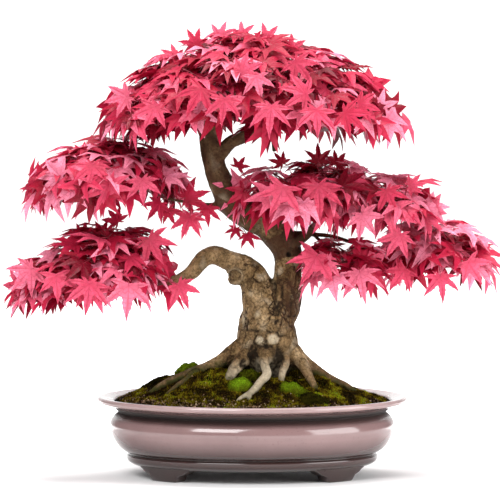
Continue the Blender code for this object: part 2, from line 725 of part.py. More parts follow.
def tree_of(points, faces):
    """A search tree of one mesh, with the middle and radius of a ball round it."""
    middle = sum((Vector(point) for point in points), Vector()) / len(points)
    reach = max((Vector(point) - middle).length for point in points)
    return BVHTree.FromPolygons(points, faces), middle, reach


def object_tree(item):
    """A search tree of an object's mesh, in millimetres."""
    points = [vertex.co / MM for vertex in item.data.vertices]
    faces = [tuple(polygon.vertices) for polygon in item.data.polygons]
    return tree_of(points, faces)


def touches(one, others):
    """Whether a mesh crosses any other."""
    tree, middle, reach = one
    for other_tree, other_middle, other_reach in others:
        if (middle - other_middle).length < reach + other_reach and tree.overlap(other_tree):
            return True
    return False


def leaf_place(draw, dome, spot, looser):
    """Where a leaf may lie near a spot of the dome, as a matrix, with its direction."""
    round_angle = spot[0] + draw.uniform(-ROUND_SPREAD, ROUND_SPREAD) * looser
    lean_angle = spot[1] + draw.uniform(-LEAN_SPREAD, LEAN_SPREAD) * looser
    lean_angle = min(lean_angle, DOMES[dome][2] + LEAN_PAST_EDGE)
    point, normal, down = dome_place(dome, round_angle, lean_angle)
    lift = draw.uniform(*LEAF_LIFT) + draw.uniform(-LEAF_LIFT_SPREAD, LEAF_LIFT_SPREAD) * looser
    lift += RIM_LIFT * (lean_angle / 90) ** RIM_LIFT_POWER
    spin = math.radians(draw.uniform(-LEAF_SPIN, LEAF_SPIN) * looser)
    front = Matrix.Rotation(spin, 3, normal) @ down
    forward = front * math.cos(math.radians(lift)) + normal * math.sin(math.radians(lift))
    up = normal * math.cos(math.radians(lift)) - front * math.sin(math.radians(lift))
    place = Matrix((forward.cross(up), forward, up)).transposed().to_4x4()
    place.translation = (point - normal * draw.uniform(0, LEAF_SINK) * looser
                         - front * LEAF_REACH * LEAF_SETBACK)
    return place, forward


def try_leaf(draw, dome, spot, roots_of, obstacles, shoots_of):
    """A leaf near a spot of the dome that crosses nothing, with its spray's name, or None."""
    for attempt in range(LEAF_TRIES):
        place, forward = leaf_place(draw, dome, spot, 1 + attempt * LOOSER_EACH_TRY)
        base = place @ Vector((0, LEAF_BASE[1], 0))
        for name in DOMES[dome][6]:
            root = best_stalk_root(base, forward, roots_of[name])
            if root is None:
                continue
            corners = leaf_outline(draw, LEAF_REACH * draw.uniform(*LEAF_REACH_SPREAD))
            away = (root - base).normalized()
            end = root + away * STALK_SINK
            whole = tree_of(*leaf_mesh(corners, place, end, CLEAR_THICKNESS, CLEAR_SCALE))
            blade = tree_of(*leaf_mesh(corners, place, base + away * STALK_FREE, CLEAR_THICKNESS,
                                       CLEAR_SCALE))
            others = [tree for other, trees in shoots_of.items() if other != name
                      for tree in trees]
            if not touches(whole, obstacles + others) and not touches(blade, shoots_of[name]):
                return name, leaf_mesh(corners, place, end), whole
    return None


def dome_spots(dome):
    """Angles of evenly spaced leaves over a dome, in rings from its top to its edge."""
    _, half, steepest, spacing, _, _, _ = DOMES[dome]
    girth = (half[0] + half[1]) / 2
    arc = math.radians(steepest) * (girth + half[2]) / 2
    rings = max(2, round(arc / (spacing * RING_SPACING)))
    spots = []
    for ring in range(rings):
        lean_angle = steepest * (ring + FIRST_RING) / rings
        around = math.tau * girth * math.sin(math.radians(lean_angle))
        count = max(3, round(around / spacing))
        stagger = 0.5 * (ring % 2)
        spots += [(360 * (step + stagger) / count, lean_angle) for step in range(count)]
    return spots


def shoot_trees(routes):
    """Search trees of a spray's shoots, thickened by the room that blades leave them."""
    trees = []
    for route in routes:
        made = tube("shoot", route, SHOOT_SIDES, CLEAR_OF_SHOOT)
        trees.append(object_tree(made))
        bpy.data.objects.remove(made)
    return trees


def place_leaves(wood, routes_of):
    """Leaves of every spray, placed so that no blade crosses another or the wood."""
    draw = random.Random(LEAF_SEED)
    roots_of = {name: stalk_roots(routes) for name, routes in routes_of.items()}
    shoots_of = {name: shoot_trees(routes) for name, routes in routes_of.items()}
    obstacles = [object_tree(wood)]
    leaves = {name: [] for name in SPRAYS}
    for dome in DOMES:
        for spot in dome_spots(dome):
            found = try_leaf(draw, dome, spot, roots_of, obstacles, shoots_of)
            if found is not None:
                name, leaf, whole = found
                obstacles.append(whole)
                leaves[name].append(leaf)
    return leaves


def spray(name, routes, leaves, foliage):
    """One leafy spray: its shoots and leaves fused in one body."""
    stem = tube(name, routes[0], STEM_SIDES, finish=foliage)
    others = [tube("shoot", route, SHOOT_SIDES) for route in routes[1:]]
    others += [solid("leaf", points, faces) for points, faces in leaves]
    return keep_largest(combine(stem, others, "UNION"))


def centre_together(items):
    """Moves all pieces as one, so that their shared box is centred on the origin."""
    corners = [vertex.co for item in items for vertex in item.data.vertices]
    middle_x = (min(corner.x for corner in corners) + max(corner.x for corner in corners)) / 2
    middle_y = (min(corner.y for corner in corners) + max(corner.y for corner in corners)) / 2
    for item in items:
        item.location = (-middle_x, -middle_y, 0)


def main():
    for item in list(bpy.data.objects):
        bpy.data.objects.remove(item)
    glaze = material("mauve_glaze", (0.33, 0.2, 0.2), 0.12)
    plastic = material("screen_plastic", (0.03, 0.03, 0.03), 0.5)
    earth = material("soil", (0.06, 0.045, 0.02), 0.95)
    moss = material("moss", (0.16, 0.26, 0.03), 0.95)
    bark = material("maple_bark", (0.3, 0.24, 0.16), 0.85)
    foliage = material("red_leaf", (0.6, 0.04, 0.1), 0.5)
    wood = trunk(bark)
    made = [wood, pot(glaze)]
    made.append(drain_screen("drain_screen_left", -DRAIN_X, plastic))
    made.append(drain_screen("drain_screen_right", DRAIN_X, plastic))
    made.append(soil(earth, buried_wood(ROOT_HOLE_GAP)))
    for index, place in enumerate(MOSS):
        made.append(moss_cushion(f"moss_cushion_{index + 1}", place, moss))
    routes_of = {name: spray_routes(name) for name in SPRAYS}
    leaves = place_leaves(wood, routes_of)
    for name in SPRAYS:
        made.append(spray(name, routes_of[name], leaves[name], foliage))
    centre_together(made)
    for item in made:
        item.data.shade_smooth()
        item.data.set_sharp_from_angle(angle=math.radians(SMOOTH_ANGLE))


main()
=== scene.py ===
import random
from math import acos, copysign, cos, exp, hypot, pi, radians, sin, sqrt, tau

import bmesh
import bpy
from mathutils import Matrix, Vector, kdtree, noise


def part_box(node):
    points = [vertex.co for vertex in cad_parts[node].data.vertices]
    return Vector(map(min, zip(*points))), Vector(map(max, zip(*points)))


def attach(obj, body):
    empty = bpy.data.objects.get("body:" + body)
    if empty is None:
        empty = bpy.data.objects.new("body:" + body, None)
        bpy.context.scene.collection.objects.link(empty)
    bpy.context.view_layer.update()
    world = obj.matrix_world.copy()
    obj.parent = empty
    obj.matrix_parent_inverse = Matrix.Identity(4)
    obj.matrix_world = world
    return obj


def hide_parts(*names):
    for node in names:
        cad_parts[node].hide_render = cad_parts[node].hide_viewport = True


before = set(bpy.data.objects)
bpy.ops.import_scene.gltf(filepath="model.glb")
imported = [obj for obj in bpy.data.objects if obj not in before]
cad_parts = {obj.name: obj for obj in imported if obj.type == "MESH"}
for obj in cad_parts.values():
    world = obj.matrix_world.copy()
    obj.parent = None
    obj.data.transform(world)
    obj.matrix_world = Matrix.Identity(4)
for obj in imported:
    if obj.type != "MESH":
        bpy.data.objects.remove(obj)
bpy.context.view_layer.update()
bpy.ops.object.select_all(action="DESELECT")
potLow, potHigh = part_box("pot")
potCentre = Vector(((potLow.x + potHigh.x) / 2, (potLow.y + potHigh.y) / 2, 0))
mm = 0.001


def at(x, y, z):  # millimetres from the pot's middle, as metres in the scene
    return Vector((x, y, z)) * mm + potCentre


def clamp(value, low=0, high=1):
    return min(max(value, low), high)


def bell(gap, width):
    return exp(-(gap / width) ** 2)


def lumps(place, size, shift=(0, 0, 0)):  # smooth noise from -1 to 1, in lumps of about this size
    return noise.noise(place / size + Vector(shift))


def flatLumps(x, y, size, layer):
    return noise.noise(Vector((x / size, y / size, layer)))


def onlySelect(piece):
    bpy.ops.object.select_all(action="DESELECT")
    piece.select_set(True)
    bpy.context.view_layer.objects.active = piece


def setMode(mode):
    bpy.ops.object.mode_set(mode=mode)


def selectPoints(piece, test):  # in edit mode, selects the points that pass and the faces between them
    bpy.ops.mesh.select_mode(type="VERT")
    shape = bmesh.from_edit_mesh(piece.data)
    for vertex in shape.verts:
        vertex.select = test(vertex.co)
    shape.select_flush(True)
    shape.select_flush(False)
    bmesh.update_edit_mesh(piece.data)


def editNew(name):  # the primitive that was just added, in edit mode with all of it selected
    piece = bpy.context.object
    piece.name = name
    setMode("EDIT")
    bpy.ops.mesh.select_all(action="SELECT")
    return piece


def extrudeEdges(offset=(0, 0, 0)):
    bpy.ops.mesh.extrude_edges_move(TRANSFORM_OT_translate={"value": offset})


def extrudeFaces(offset=(0, 0, 0)):
    bpy.ops.mesh.extrude_region_move(TRANSFORM_OT_translate={"value": offset})


def turnOutwards():  # from edit mode back to object mode, with every face turned outwards
    bpy.ops.mesh.select_all(action="SELECT")
    bpy.ops.mesh.normals_make_consistent(inside=False)
    setMode("OBJECT")


def modify(piece, kind, **settings):  # adds a modifier and applies it
    step = piece.modifiers.new("step", kind)
    for key, value in settings.items():
        setattr(step, key, value)
    onlySelect(piece)
    bpy.ops.object.modifier_apply(modifier=step.name)


def applyTransforms(piece):
    onlySelect(piece)
    bpy.ops.object.transform_apply(location=True, rotation=True, scale=True)


def linked(name, data):
    piece = bpy.data.objects.new(name, data)
    bpy.context.scene.collection.objects.link(piece)
    return piece


def joined(name, pieces):
    onlySelect(pieces[0])
    for piece in pieces:
        piece.select_set(True)
    bpy.ops.object.join()
    pieces[0].name = pieces[0].data.name = name
    return pieces[0]


def setFloats(mesh, name, values):
    layer = mesh.attributes.get(name) or mesh.attributes.new(name, "FLOAT", "POINT")
    layer.data.foreach_set("value", values)


def finishPiece(piece, material, slot, *nodes):
    applyTransforms(piece)
    piece.data.materials.clear()
    piece.data.materials.append(material)
    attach(piece, "root")
    if nodes:
        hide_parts(*nodes)
    return piece


def newMaterial(name):
    material = bpy.data.materials.new(name)
    material.use_nodes = True
    tree = material.node_tree
    return material, tree, tree.nodes["Principled BSDF"]


def fill(tree, node, sockets):  # each socket gets a link, a number, a vector or a colour
    for key, value in sockets.items():
        socket = node.inputs[key]
        if isinstance(value, bpy.types.NodeSocket):
            tree.links.new(value, socket)
        elif isinstance(value, tuple) and socket.type == "RGBA":
            socket.default_value = (*value, 1)
        else:
            socket.default_value = value


def addNode(tree, kind, sockets=None, **settings):
    made = tree.nodes.new("ShaderNode" + kind)
    for key, value in settings.items():
        setattr(made, key, value)
    fill(tree, made, sockets or {})
    return made


def ramp(tree, source, stops):  # each stop is a place and a colour, or a single number for a grey
    made = addNode(tree, "ValToRGB", {"Fac": source})
    elements = made.color_ramp.elements
    elements.remove(elements[1])
    for index, (place, colour) in enumerate(stops):
        stop = elements.new(place) if index else elements[0]
        stop.position = place
        stop.color = (*colour, 1) if isinstance(colour, tuple) else (colour, colour, colour, 1)
    return made.outputs["Color"]


def noiseOn(tree, vector, scale, detail=4, roughness=0.6, stretch=(1, 1, 1)):
    placed = addNode(tree, "Mapping", {"Vector": vector, "Scale": stretch}).outputs["Vector"]
    return addNode(tree, "TexNoise", {"Vector": placed, "Scale": scale, "Detail": detail,
                                      "Roughness": roughness}).outputs["Fac"]


def mixColour(tree, share, first, second, blend="MIX"):
    sockets = {0: share, 6: first, 7: second}
    return addNode(tree, "Mix", sockets, data_type="RGBA", blend_type=blend).outputs[2]


def mixShader(tree, share, first, second):
    made = addNode(tree, "MixShader", {"Fac": share, 1: first.outputs[0], 2: second.outputs[0]})
    return made.outputs["Shader"]


def mathOf(tree, operation, first, second=0.0, third=0.0):
    return addNode(tree, "Math", {0: first, 1: second, 2: third}, operation=operation).outputs["Value"]


def attribute(tree, name):
    return addNode(tree, "Attribute", attribute_name=name).outputs["Fac"]


def objectPlace(tree):
    return addNode(tree, "TexCoord").outputs["Object"]


def bumpFrom(tree, shader, height, distance, strength=1.0):
    bump = addNode(tree, "Bump", {"Strength": strength, "Distance": distance, "Height": height})
    fill(tree, shader, {"Normal": bump.outputs["Normal"]})


# The pot: an oval, profiled ring by ring as (inset from the rim, height)
potShape = {
    "halfLength": 155.5, "halfWidth": 118.0, "sides": 96,
    "outside": ((42, 13), (37.4, 13), (36, 13.2), (31, 16), (30, 18), (29.2, 21), (29.4, 22.6),
                (31.6, 24), (30.8, 25), (27.5, 25.8), (21.5, 30.5), (16.5, 38), (13.4, 45),
                (12.3, 51.5), (13.4, 57), (16.5, 61.5), (21.6, 65), (22.2, 66), (19.4, 67),
                (18.4, 68.6), (19, 70.2), (17.5, 71.2), (12, 72), (2.4, 74.6), (0.6, 75.6),
                (0, 77.6), (0.6, 79.6), (2.2, 80.8), (5, 80.7), (13.5, 78.5), (15.6, 77.8),
                (16.6, 76.8)),
    "inside": ((17.4, 73.6), (28.5, 66.5), (22, 52), (27, 36), (38, 23), (40, 22)),
    "footX": 93.0, "footHalf": 15.8, "footTop": 16.5, "footDepth": 15.0,
    "footSteps": ((17.6, 3.4), (18.4, 6.0), (22.5, 7.2), (26.0, 8.6), (28.0, 10.6), (33.0, 12.4)),
    "footInsetTop": 34.0, "footInsetBottom": 39.0,
    "drainX": 60.0, "drainRadius": 9.0,
    # Glaze by height in tenths of a metre: painted shade makes it near black under the rim, it is dark at the
    # foot, and a painted highlight lightens the rim's top
    "glaze": ((0.14, (0.03, 0.013, 0.011)), (0.21, (0.045, 0.02, 0.018)), (0.25, (0.02, 0.009, 0.008)),
              (0.32, (0.09, 0.05, 0.048)), (0.45, (0.215, 0.132, 0.13)), (0.58, (0.215, 0.13, 0.128)),
              (0.625, (0.05, 0.025, 0.023)), (0.66, (0.012, 0.006, 0.005)), (0.685, (0.012, 0.006, 0.005)),
              (0.705, (0.06, 0.03, 0.028)), (0.74, (0.2, 0.12, 0.115)), (0.8, (0.34, 0.24, 0.235))),
    "neck": (0.61, 0.64, 0.7, 0.73),  # the glaze is thin and dull from the second height to the third
    "coat": (0.5, 0), "rough": (0.16, 0.7),  # on the body and in the neck
}


def ovalRings(name, rings, sides):  # a stack of oval rings, each extruded from the last
    halfLength, halfWidth = potShape["halfLength"], potShape["halfWidth"]
    inset, height = rings[0]
    bpy.ops.mesh.primitive_circle_add(vertices=sides, radius=mm, location=(0, 0, height * mm))
    piece = editNew(name)
    bpy.ops.transform.resize(value=(halfLength - inset, halfWidth - inset, 1))
    bpy.ops.mesh.edge_face_add()
    for nextInset, nextHeight in rings[1:]:
        extrudeEdges((0, 0, (nextHeight - height) * mm))
        bpy.ops.transform.resize(value=((halfLength - nextInset) / (halfLength - inset),
                                        (halfWidth - nextInset) / (halfWidth - inset), 1),
                                 center_override=(0, 0, nextHeight * mm))
        inset, height = nextInset, nextHeight
    bpy.ops.mesh.edge_face_add()
    turnOutwards()
    return piece


def cloudFoot(sideX, sideY):  # a block stepped out to both sides, then bent along the oval
    top, half, depth = potShape["footTop"], potShape["footHalf"], potShape["footDepth"]
    insetTop, insetBottom = potShape["footInsetTop"], potShape["footInsetBottom"]
    halfLength, halfWidth = potShape["halfLength"], potShape["halfWidth"]
    bpy.ops.mesh.primitive_cube_add(size=mm, location=(0, 0, top / 2 * mm))
    foot = editNew("cloudFoot")
    bpy.ops.transform.resize(value=(half * 2, depth, top))
    for way in (-1, 1):
        along, low = half, 0.0
        selectPoints(foot, lambda co: co.x * way > (half - 0.1) * mm)
        for nextAlong, nextLow in potShape["footSteps"]:
            extrudeFaces(((nextAlong - along) * way * mm, 0, 0))
            bpy.ops.transform.resize(value=(1, 1, (top - nextLow) / (top - low)),
                                     center_override=(0, 0, top * mm))
            along, low = nextAlong, nextLow
    bpy.ops.mesh.select_all(action="SELECT")
    bpy.ops.mesh.subdivide(number_cuts=1)
    setMode("OBJECT")
    applyTransforms(foot)
    middle = acos(potShape["footX"] / (halfLength - insetTop))
    girth = (halfLength + halfWidth) / 2 - insetTop
    for vertex in foot.data.vertices:
        x, y, z = vertex.co / mm
        inset = insetBottom + (depth / 2 - y)
        if y > 0:
            inset -= (insetBottom - insetTop) * max(z, 0) / top * (y / (depth / 2))
        angle = middle - x / girth
        vertex.co = Vector(((halfLength - inset) * cos(angle) * sideX,
                            (halfWidth - inset) * sin(angle) * sideY, z)) * mm
    modify(foot, "BEVEL", width=1.3 * mm, segments=3, angle_limit=radians(38))
    setMode("EDIT")
    turnOutwards()
    return foot


def glazeMaterial():  # glossy mauve glaze, darker towards the foot, with painted shade under the rim and a painted highlight on the rim's top
    material, tree, shader = newMaterial("mauveGlaze")
    place = objectPlace(tree)
    apart = addNode(tree, "SeparateXYZ", {"Vector": place})
    level = mathOf(tree, "MULTIPLY", apart.outputs["Z"], 10.0)
    cloud = ramp(tree, noiseOn(tree, place, 14, 3), ((0.35, (0.75, 0.72, 0.72)), (0.65, 1.1)))
    speck = ramp(tree, noiseOn(tree, place, 420, 2), ((0.62, 0), (0.74, 0.25)))
    colour = mixColour(tree, 0.5, ramp(tree, level, potShape["glaze"]), cloud, "MULTIPLY")
    colour = mixColour(tree, speck, colour, (0.07, 0.03, 0.03))
    coat, rough = (ramp(tree, level, list(zip(potShape["neck"], (body, neck, neck, body))))
                   for body, neck in (potShape["coat"], potShape["rough"]))
    fill(tree, shader, {"Base Color": colour, "IOR": 1.5, "Coat Weight": coat, "Roughness": rough,
                        "Coat Roughness": 0.04})
    bumpFrom(tree, shader, noiseOn(tree, place, 60, 2), 0.0004, 0.2)
    return material


potPiece = ovalRings("glazedPot", potShape["outside"] + potShape["inside"], potShape["sides"])
modify(potPiece, "SUBSURF", levels=2)
potPiece = joined("glazedPot", [potPiece] + [cloudFoot(x, y) for x in (-1, 1) for y in (-1, 1)])
for drainX in (-potShape["drainX"], potShape["drainX"]):
    bpy.ops.mesh.primitive_cylinder_add(vertices=48, radius=potShape["drainRadius"] * mm,
                                        depth=30 * mm, location=(drainX * mm, 0, 18 * mm))
    drain = bpy.context.object
    modify(potPiece, "BOOLEAN", operation="DIFFERENCE", object=drain)
    bpy.data.objects.remove(drain)
applyTransforms(potPiece)
bpy.ops.object.shade_smooth_by_angle(angle=radians(40))
potPiece.location = potCentre
finishPiece(potPiece, glazeMaterial(), "glaze", "pot")
print("pot done", len(potPiece.data.polygons))

# The soil mound: its height in millimetres, with the lumps of the moss carpet
soilShape = {
    "edge": 75.4, "rise": 24.0, "power": 2.2, "middleX": -12.0, "reachX": 139.5, "reachY": 102.0,
    "hump": 11.0, "humpX": -35.0, "humpY": -5.0, "humpLong": 62.0, "humpWide": 50.0,
    "gap": 0.4, "rings": 46, "sides": 144,
    "lumps": ((26.0, 1.6), (9.0, 2.3), (3.6, 1.1)),  # size and height of each scale of lump
    "banks": ((-30, -45, 9, 3.5), (28, -44, 9, 4), (-62, -22, 10, 3), (4, -36, 10, 3), (58, -24, 9, 3),
              (72, -4, 15, 5), (47, 8, 14, 8), (-42, -26, 12, 3)),
    # How mossy the ground is, how much that varies, where the rim begins, the loss there and at far left
    "moss": 0.74, "mossSpread": 0.95, "mossRim": 0.76, "rimLoss": 1.8, "leftLoss": 0.3,
}


def groundHeight(x, y):
    reachX = soilShape["reachX"] + copysign(soilShape["middleX"], x - soilShape["middleX"])
    far = min(hypot((x - soilShape["middleX"]) / reachX, y / soilShape["reachY"]), 1.0)
    humpX = (x - soilShape["humpX"]) / soilShape["humpLong"]
    humpY = (y - soilShape["humpY"]) / soilShape["humpWide"]
    height = soilShape["edge"] + soilShape["rise"] * (1 - far ** soilShape["power"])
    height += soilShape["hump"] * exp(-humpX ** 2 - humpY ** 2) * (1 - far ** 4)
    fade = 1 - 0.6 * far ** 6
    for size, lump in soilShape["lumps"]:
        height += lump * fade * flatLumps(x, y, size, size)
    for bankX, bankY, size, tall in soilShape["banks"]:  # moss heaped against the feet of the roots
        height += tall * exp(-((x - bankX) ** 2 + (y - bankY) ** 2) / size ** 2)
    return height


def mossShare(x, y):  # how mossy the ground is, from 0 to 1
    spread = flatLumps(x, y, 21, 3.1) + 0.6 * flatLumps(x, y, 7, 8.4)
    far = hypot((x - soilShape["middleX"]) / 140, y / 100)
    return clamp(soilShape["moss"] + soilShape["mossSpread"] * spread
                 - soilShape["rimLoss"] * max(far - soilShape["mossRim"], 0)
                 - soilShape["leftLoss"] * clamp((-x - 50) / 40))


def groundMaterial():
    material, tree, shader = newMaterial("mossyGround")
    place = objectPlace(tree)
    fine = noiseOn(tree, place, 700, 4, 0.75)
    patch = noiseOn(tree, place, 90, 4, 0.7)
    earth = ramp(tree, fine, ((0.38, (0.002, 0.001, 0.0006)), (0.55, (0.011, 0.0055, 0.002)),
                              (0.72, (0.1, 0.045, 0.018))))
    moss = ramp(tree, fine, ((0.38, (0.002, 0.0018, 0.0005)), (0.53, (0.018, 0.015, 0.001)),
                             (0.7, (0.2, 0.19, 0.01))))
    rust = mixColour(tree, ramp(tree, patch, ((0.52, 0), (0.66, 0.7))), moss, (0.07, 0.035, 0.01))
    colour = mixColour(tree, attribute(tree, "mossy"), earth, rust)
    fill(tree, shader, {"Base Color": colour, "Roughness": 0.95, "Specular IOR Level": 0.01})
    bumpFrom(tree, shader, fine, 0.0025)
    return material


soilRings = [(inset + soilShape["gap"], height + soilShape["gap"])
             for inset, height in reversed(potShape["inside"])]
rimInset, topZ = soilRings[-1]
edgeX, edgeY = potShape["halfLength"] - rimInset, potShape["halfWidth"] - rimInset
soilPiece = ovalRings("mossySoil", soilRings[1:], soilShape["sides"])
applyTransforms(soilPiece)
setMode("EDIT")
selectPoints(soilPiece, lambda co: co.z > topZ * mm - 1e-5)
share = 1.0
for ring in range(soilShape["rings"]):
    nextShare = 1 - (ring + 1) / (soilShape["rings"] + 0.6)
    extrudeFaces()
    bpy.ops.transform.resize(value=(nextShare / share, nextShare / share, 1), center_override=(0, 0, 0.07))
    share = nextShare
setMode("OBJECT")
for vertex in soilPiece.data.vertices:
    x, y, z = vertex.co / mm
    if z > topZ - 0.1:  # the rings close round the mound's peak
        x += soilShape["middleX"] * (1 - hypot(x / edgeX, y / edgeY))
        vertex.co = Vector((x, y, groundHeight(x, y))) * mm
modify(soilPiece, "SUBSURF", subdivision_type="SIMPLE", levels=1)
mossy = []
for vertex in soilPiece.data.vertices:
    x, y, z = vertex.co / mm
    if z > topZ - 3 and hypot(x / edgeX, y / edgeY) < 0.995:
        vertex.co.z = groundHeight(x, y) * mm
    mossy.append(mossShare(x, y))
setFloats(soilPiece.data, "mossy", mossy)
soilPiece.data.shade_smooth()
soilPiece.location = potCentre
finishPiece(soilPiece, groundMaterial(), "soil", "soil")
print("soil done", len(soilPiece.data.polygons))

# Moss: cushions as domes under short blades, and a carpet of blades over the ground
mossShape = {
    "cushions": {  # x, y, half length, half width, height, brightness
        "moss_cushion_1": (-12, -57, 12.5, 9, 9, 1.0), "moss_cushion_2": (41, -55, 14, 9, 8.5, 0.9),
        "moss_cushion_3": (-3, -37, 10.5, 7.5, 8, 0.5), "moss_cushion_4": (-66, 10, 13, 10, 10.5, 0.95),
        "moss_cushion_5": (-97, 14, 16, 11, 6.5, 0.1), "moss_cushion_6": (60, -68, 17, 10, 5.5, 0.15),
        "moss_cushion_7": (-22, 64, 16, 11, 7.5, 0.5), "moss_cushion_8": (42, 62, 15, 10, 7.5, 0.4),
    },
    "blades": 62000, "bladeHalfWidth": 0.4, "bladeLean": 0.55, "footTone": 0.42,
    "carpetBlade": (1.0, 2.6), "cushionBlade": (0.9, 1.9),  # shortest and longest
    "tufts": ((-40, -44, 13), (56, -62, 14), (82, -50, 12), (26, -76, 9), (-74, -52, 10)),  # x, y, size
    "carpetTones": ((0.0, (0.003, 0.002, 0.0005)), (0.22, (0.026, 0.015, 0.002)), (0.45, (0.16, 0.1, 0.006)),
                    (0.7, (0.34, 0.31, 0.012)), (0.86, (0.14, 0.34, 0.006)), (1.0, (0.29, 0.62, 0.015))),
    "cushionTones": ((0.0, (0.004, 0.003, 0.0005)), (0.28, (0.03, 0.026, 0.002)), (0.55, (0.1, 0.12, 0.005)),
                     (0.8, (0.17, 0.31, 0.008)), (1.0, (0.32, 0.62, 0.02))),
}
draw = random.Random(5)


def mossMaterial(name, tones):
    material, tree, shader = newMaterial(name)
    grain = ramp(tree, noiseOn(tree, objectPlace(tree), 500, 3), ((0.35, 0.45), (0.7, 1)))
    colour = mixColour(tree, 0.5, ramp(tree, attribute(tree, "tone"), tones), grain, "MULTIPLY")
    fill(tree, shader, {"Base Color": colour, "Roughness": 0.85, "Specular IOR Level": 0.02})
    return material


def bladesMesh(name, blades):  # each blade is a sliver: foot, tip, half width, tone
    points, faces, tones = [], [], []
    for foot, tip, side, tone in blades:
        start = len(points)
        points += [foot - side, foot + side, tip]
        faces.append((start, start + 1, start + 2))
        tones += [tone * mossShape["footTone"]] * 2 + [tone]
    mesh = bpy.data.meshes.new(name)
    mesh.from_pydata(points, [], faces)
    setFloats(mesh, "tone", tones)
    return linked(name, mesh)


def blade(foot, normal, length, tone):  # leans at random from the normal
    lean = Vector((draw.uniform(-1, 1), draw.uniform(-1, 1), draw.uniform(-0.4, 1)))
    tip = foot + (normal + lean * mossShape["bladeLean"]).normalized() * length
    side = Vector((draw.uniform(-1, 1), draw.uniform(-1, 1), 0)).normalized()
    return foot, tip, side * mossShape["bladeHalfWidth"] * mm, clamp(tone)


cushionTuft = mossMaterial("cushionTuft", mossShape["cushionTones"])
for node, (x, y, long, wide, tall, bright) in mossShape["cushions"].items():
    bpy.ops.mesh.primitive_ico_sphere_add(subdivisions=5, radius=mm, location=(0, 0, 0))
    cushion = bpy.context.object
    blades, tones = [], []
    for vertex in cushion.data.vertices:
        way = vertex.co.normalized()
        lump = 1 + 0.13 * noise.noise(way * 2.2 + Vector((x, y, 0))) + 0.05 * noise.noise(way * 7)
        place = Vector((way.x * long * lump, way.y * wide * lump, 0))
        ground = groundHeight(x + place.x, y + place.y)
        place.z = ground - 2.0 + max(way.z, -0.15) * tall * lump * 1.05
        vertex.co = at(x + place.x, y + place.y, place.z)
        # painted light: each cushion is lighter on its top and darker down its sides
        shade = bright * (0.35 + 0.65 * way.z) + 0.08 + 0.2 * noise.noise(way * 4)
        tones.append(clamp(shade * 0.8))
        if way.z > -0.1:
            normal = Vector((way.x / long, way.y / wide, way.z / tall)).normalized()
            spot = vertex.co + Vector((draw.uniform(-1, 1), draw.uniform(-1, 1), 0)) * 0.3 * mm
            blades.append(blade(spot, normal, draw.uniform(*mossShape["cushionBlade"]) * mm,
                                shade + draw.uniform(-0.3, 0.25)))
    setFloats(cushion.data, "tone", tones)
    cushion.data.shade_smooth()
    cushion = joined(node.replace("moss_cushion_", "mossCushion"), [cushion, bladesMesh("fuzz", blades)])
    finishPiece(cushion, cushionTuft, "moss", node)
carpet = []
while len(carpet) < mossShape["blades"]:
    angle, far = draw.uniform(0, tau), sqrt(draw.random()) * 0.985
    x, y = edgeX * far * cos(angle), edgeY * far * sin(angle)
    wet = mossShare(x, y)
    if draw.random() < wet:
        tone = 0.15 + 0.52 * wet * draw.random() + 0.62 * flatLumps(x, y, 13, 1)
        tone += 0.5 * flatLumps(x, y, 4, 5) + 0.35 * flatLumps(x, y, 1.6, 9)
        tone += max(0.5 * exp(-((x - tuftX) ** 2 + (y - tuftY) ** 2) / size ** 2)
                    for tuftX, tuftY, size in mossShape["tufts"])
        tone += 0.34 * draw.random() * clamp((far - 0.78) / 0.15)
        foot = at(x, y, groundHeight(x, y) - 0.3)
        carpet.append(blade(foot, Vector((0, 0, 1)), draw.uniform(*mossShape["carpetBlade"]) * mm, tone))
finishPiece(bladesMesh("mossCarpet", carpet), mossMaterial("mossTuft", mossShape["carpetTones"]), "moss")
print("moss done")

# Grit: small stones strewn on the soil, most of them along the front edge
gritShape = {
    "stones": 760, "size": (0.4, 1.4), "anywhere": 5,  # one in so many lies anywhere, the rest at the edge
    "edgeTurn": -pi / 2 - 0.3, "edgeSpread": 0.7, "edgeBand": 0.07, "edgeGap": 0.012,
    "tones": ((0.0, (0.03, 0.016, 0.008)), (0.4, (0.12, 0.06, 0.028)), (0.75, (0.27, 0.17, 0.09)),
              (1.0, (0.4, 0.3, 0.19))),
}


def gritMaterial():
    material, tree, shader = newMaterial("paleGrit")
    colour = ramp(tree, attribute(tree, "tone"), gritShape["tones"])
    fill(tree, shader, {"Base Color": colour, "Roughness": 0.8})
    return material


stones = []
bpy.ops.mesh.primitive_ico_sphere_add(subdivisions=1, radius=1, location=(0, 0, 0))
stoneShape = bpy.context.object
for count in range(gritShape["stones"]):
    if count % gritShape["anywhere"]:
        angle = draw.gauss(gritShape["edgeTurn"], gritShape["edgeSpread"])
        far = 1 - abs(draw.gauss(0, gritShape["edgeBand"])) - gritShape["edgeGap"]
    else:
        angle, far = draw.uniform(0, tau), sqrt(draw.random()) * 0.97
    x, y = edgeX * far * cos(angle), edgeY * far * sin(angle)
    size = draw.uniform(*gritShape["size"]) * mm
    stone = linked("stone", stoneShape.data.copy())
    for vertex in stone.data.vertices:
        vertex.co *= draw.uniform(0.7, 1.15)
    turn = Matrix.Rotation(draw.uniform(0, tau), 4, Vector((draw.random(), 1, draw.random())))
    squash = Matrix.Diagonal((size, size * draw.uniform(0.6, 1), size * draw.uniform(0.5, 0.9), 1))
    stone.data.transform(Matrix.Translation(at(x, y, groundHeight(x, y) + 0.2)) @ turn @ squash)
    setFloats(stone.data, "tone", [draw.random() ** 1.3] * len(stone.data.vertices))
    stones.append(stone)
bpy.data.objects.remove(stoneShape)
finishPiece(joined("surfaceGrit", stones), gritMaterial(), "soil")
print("grit done")

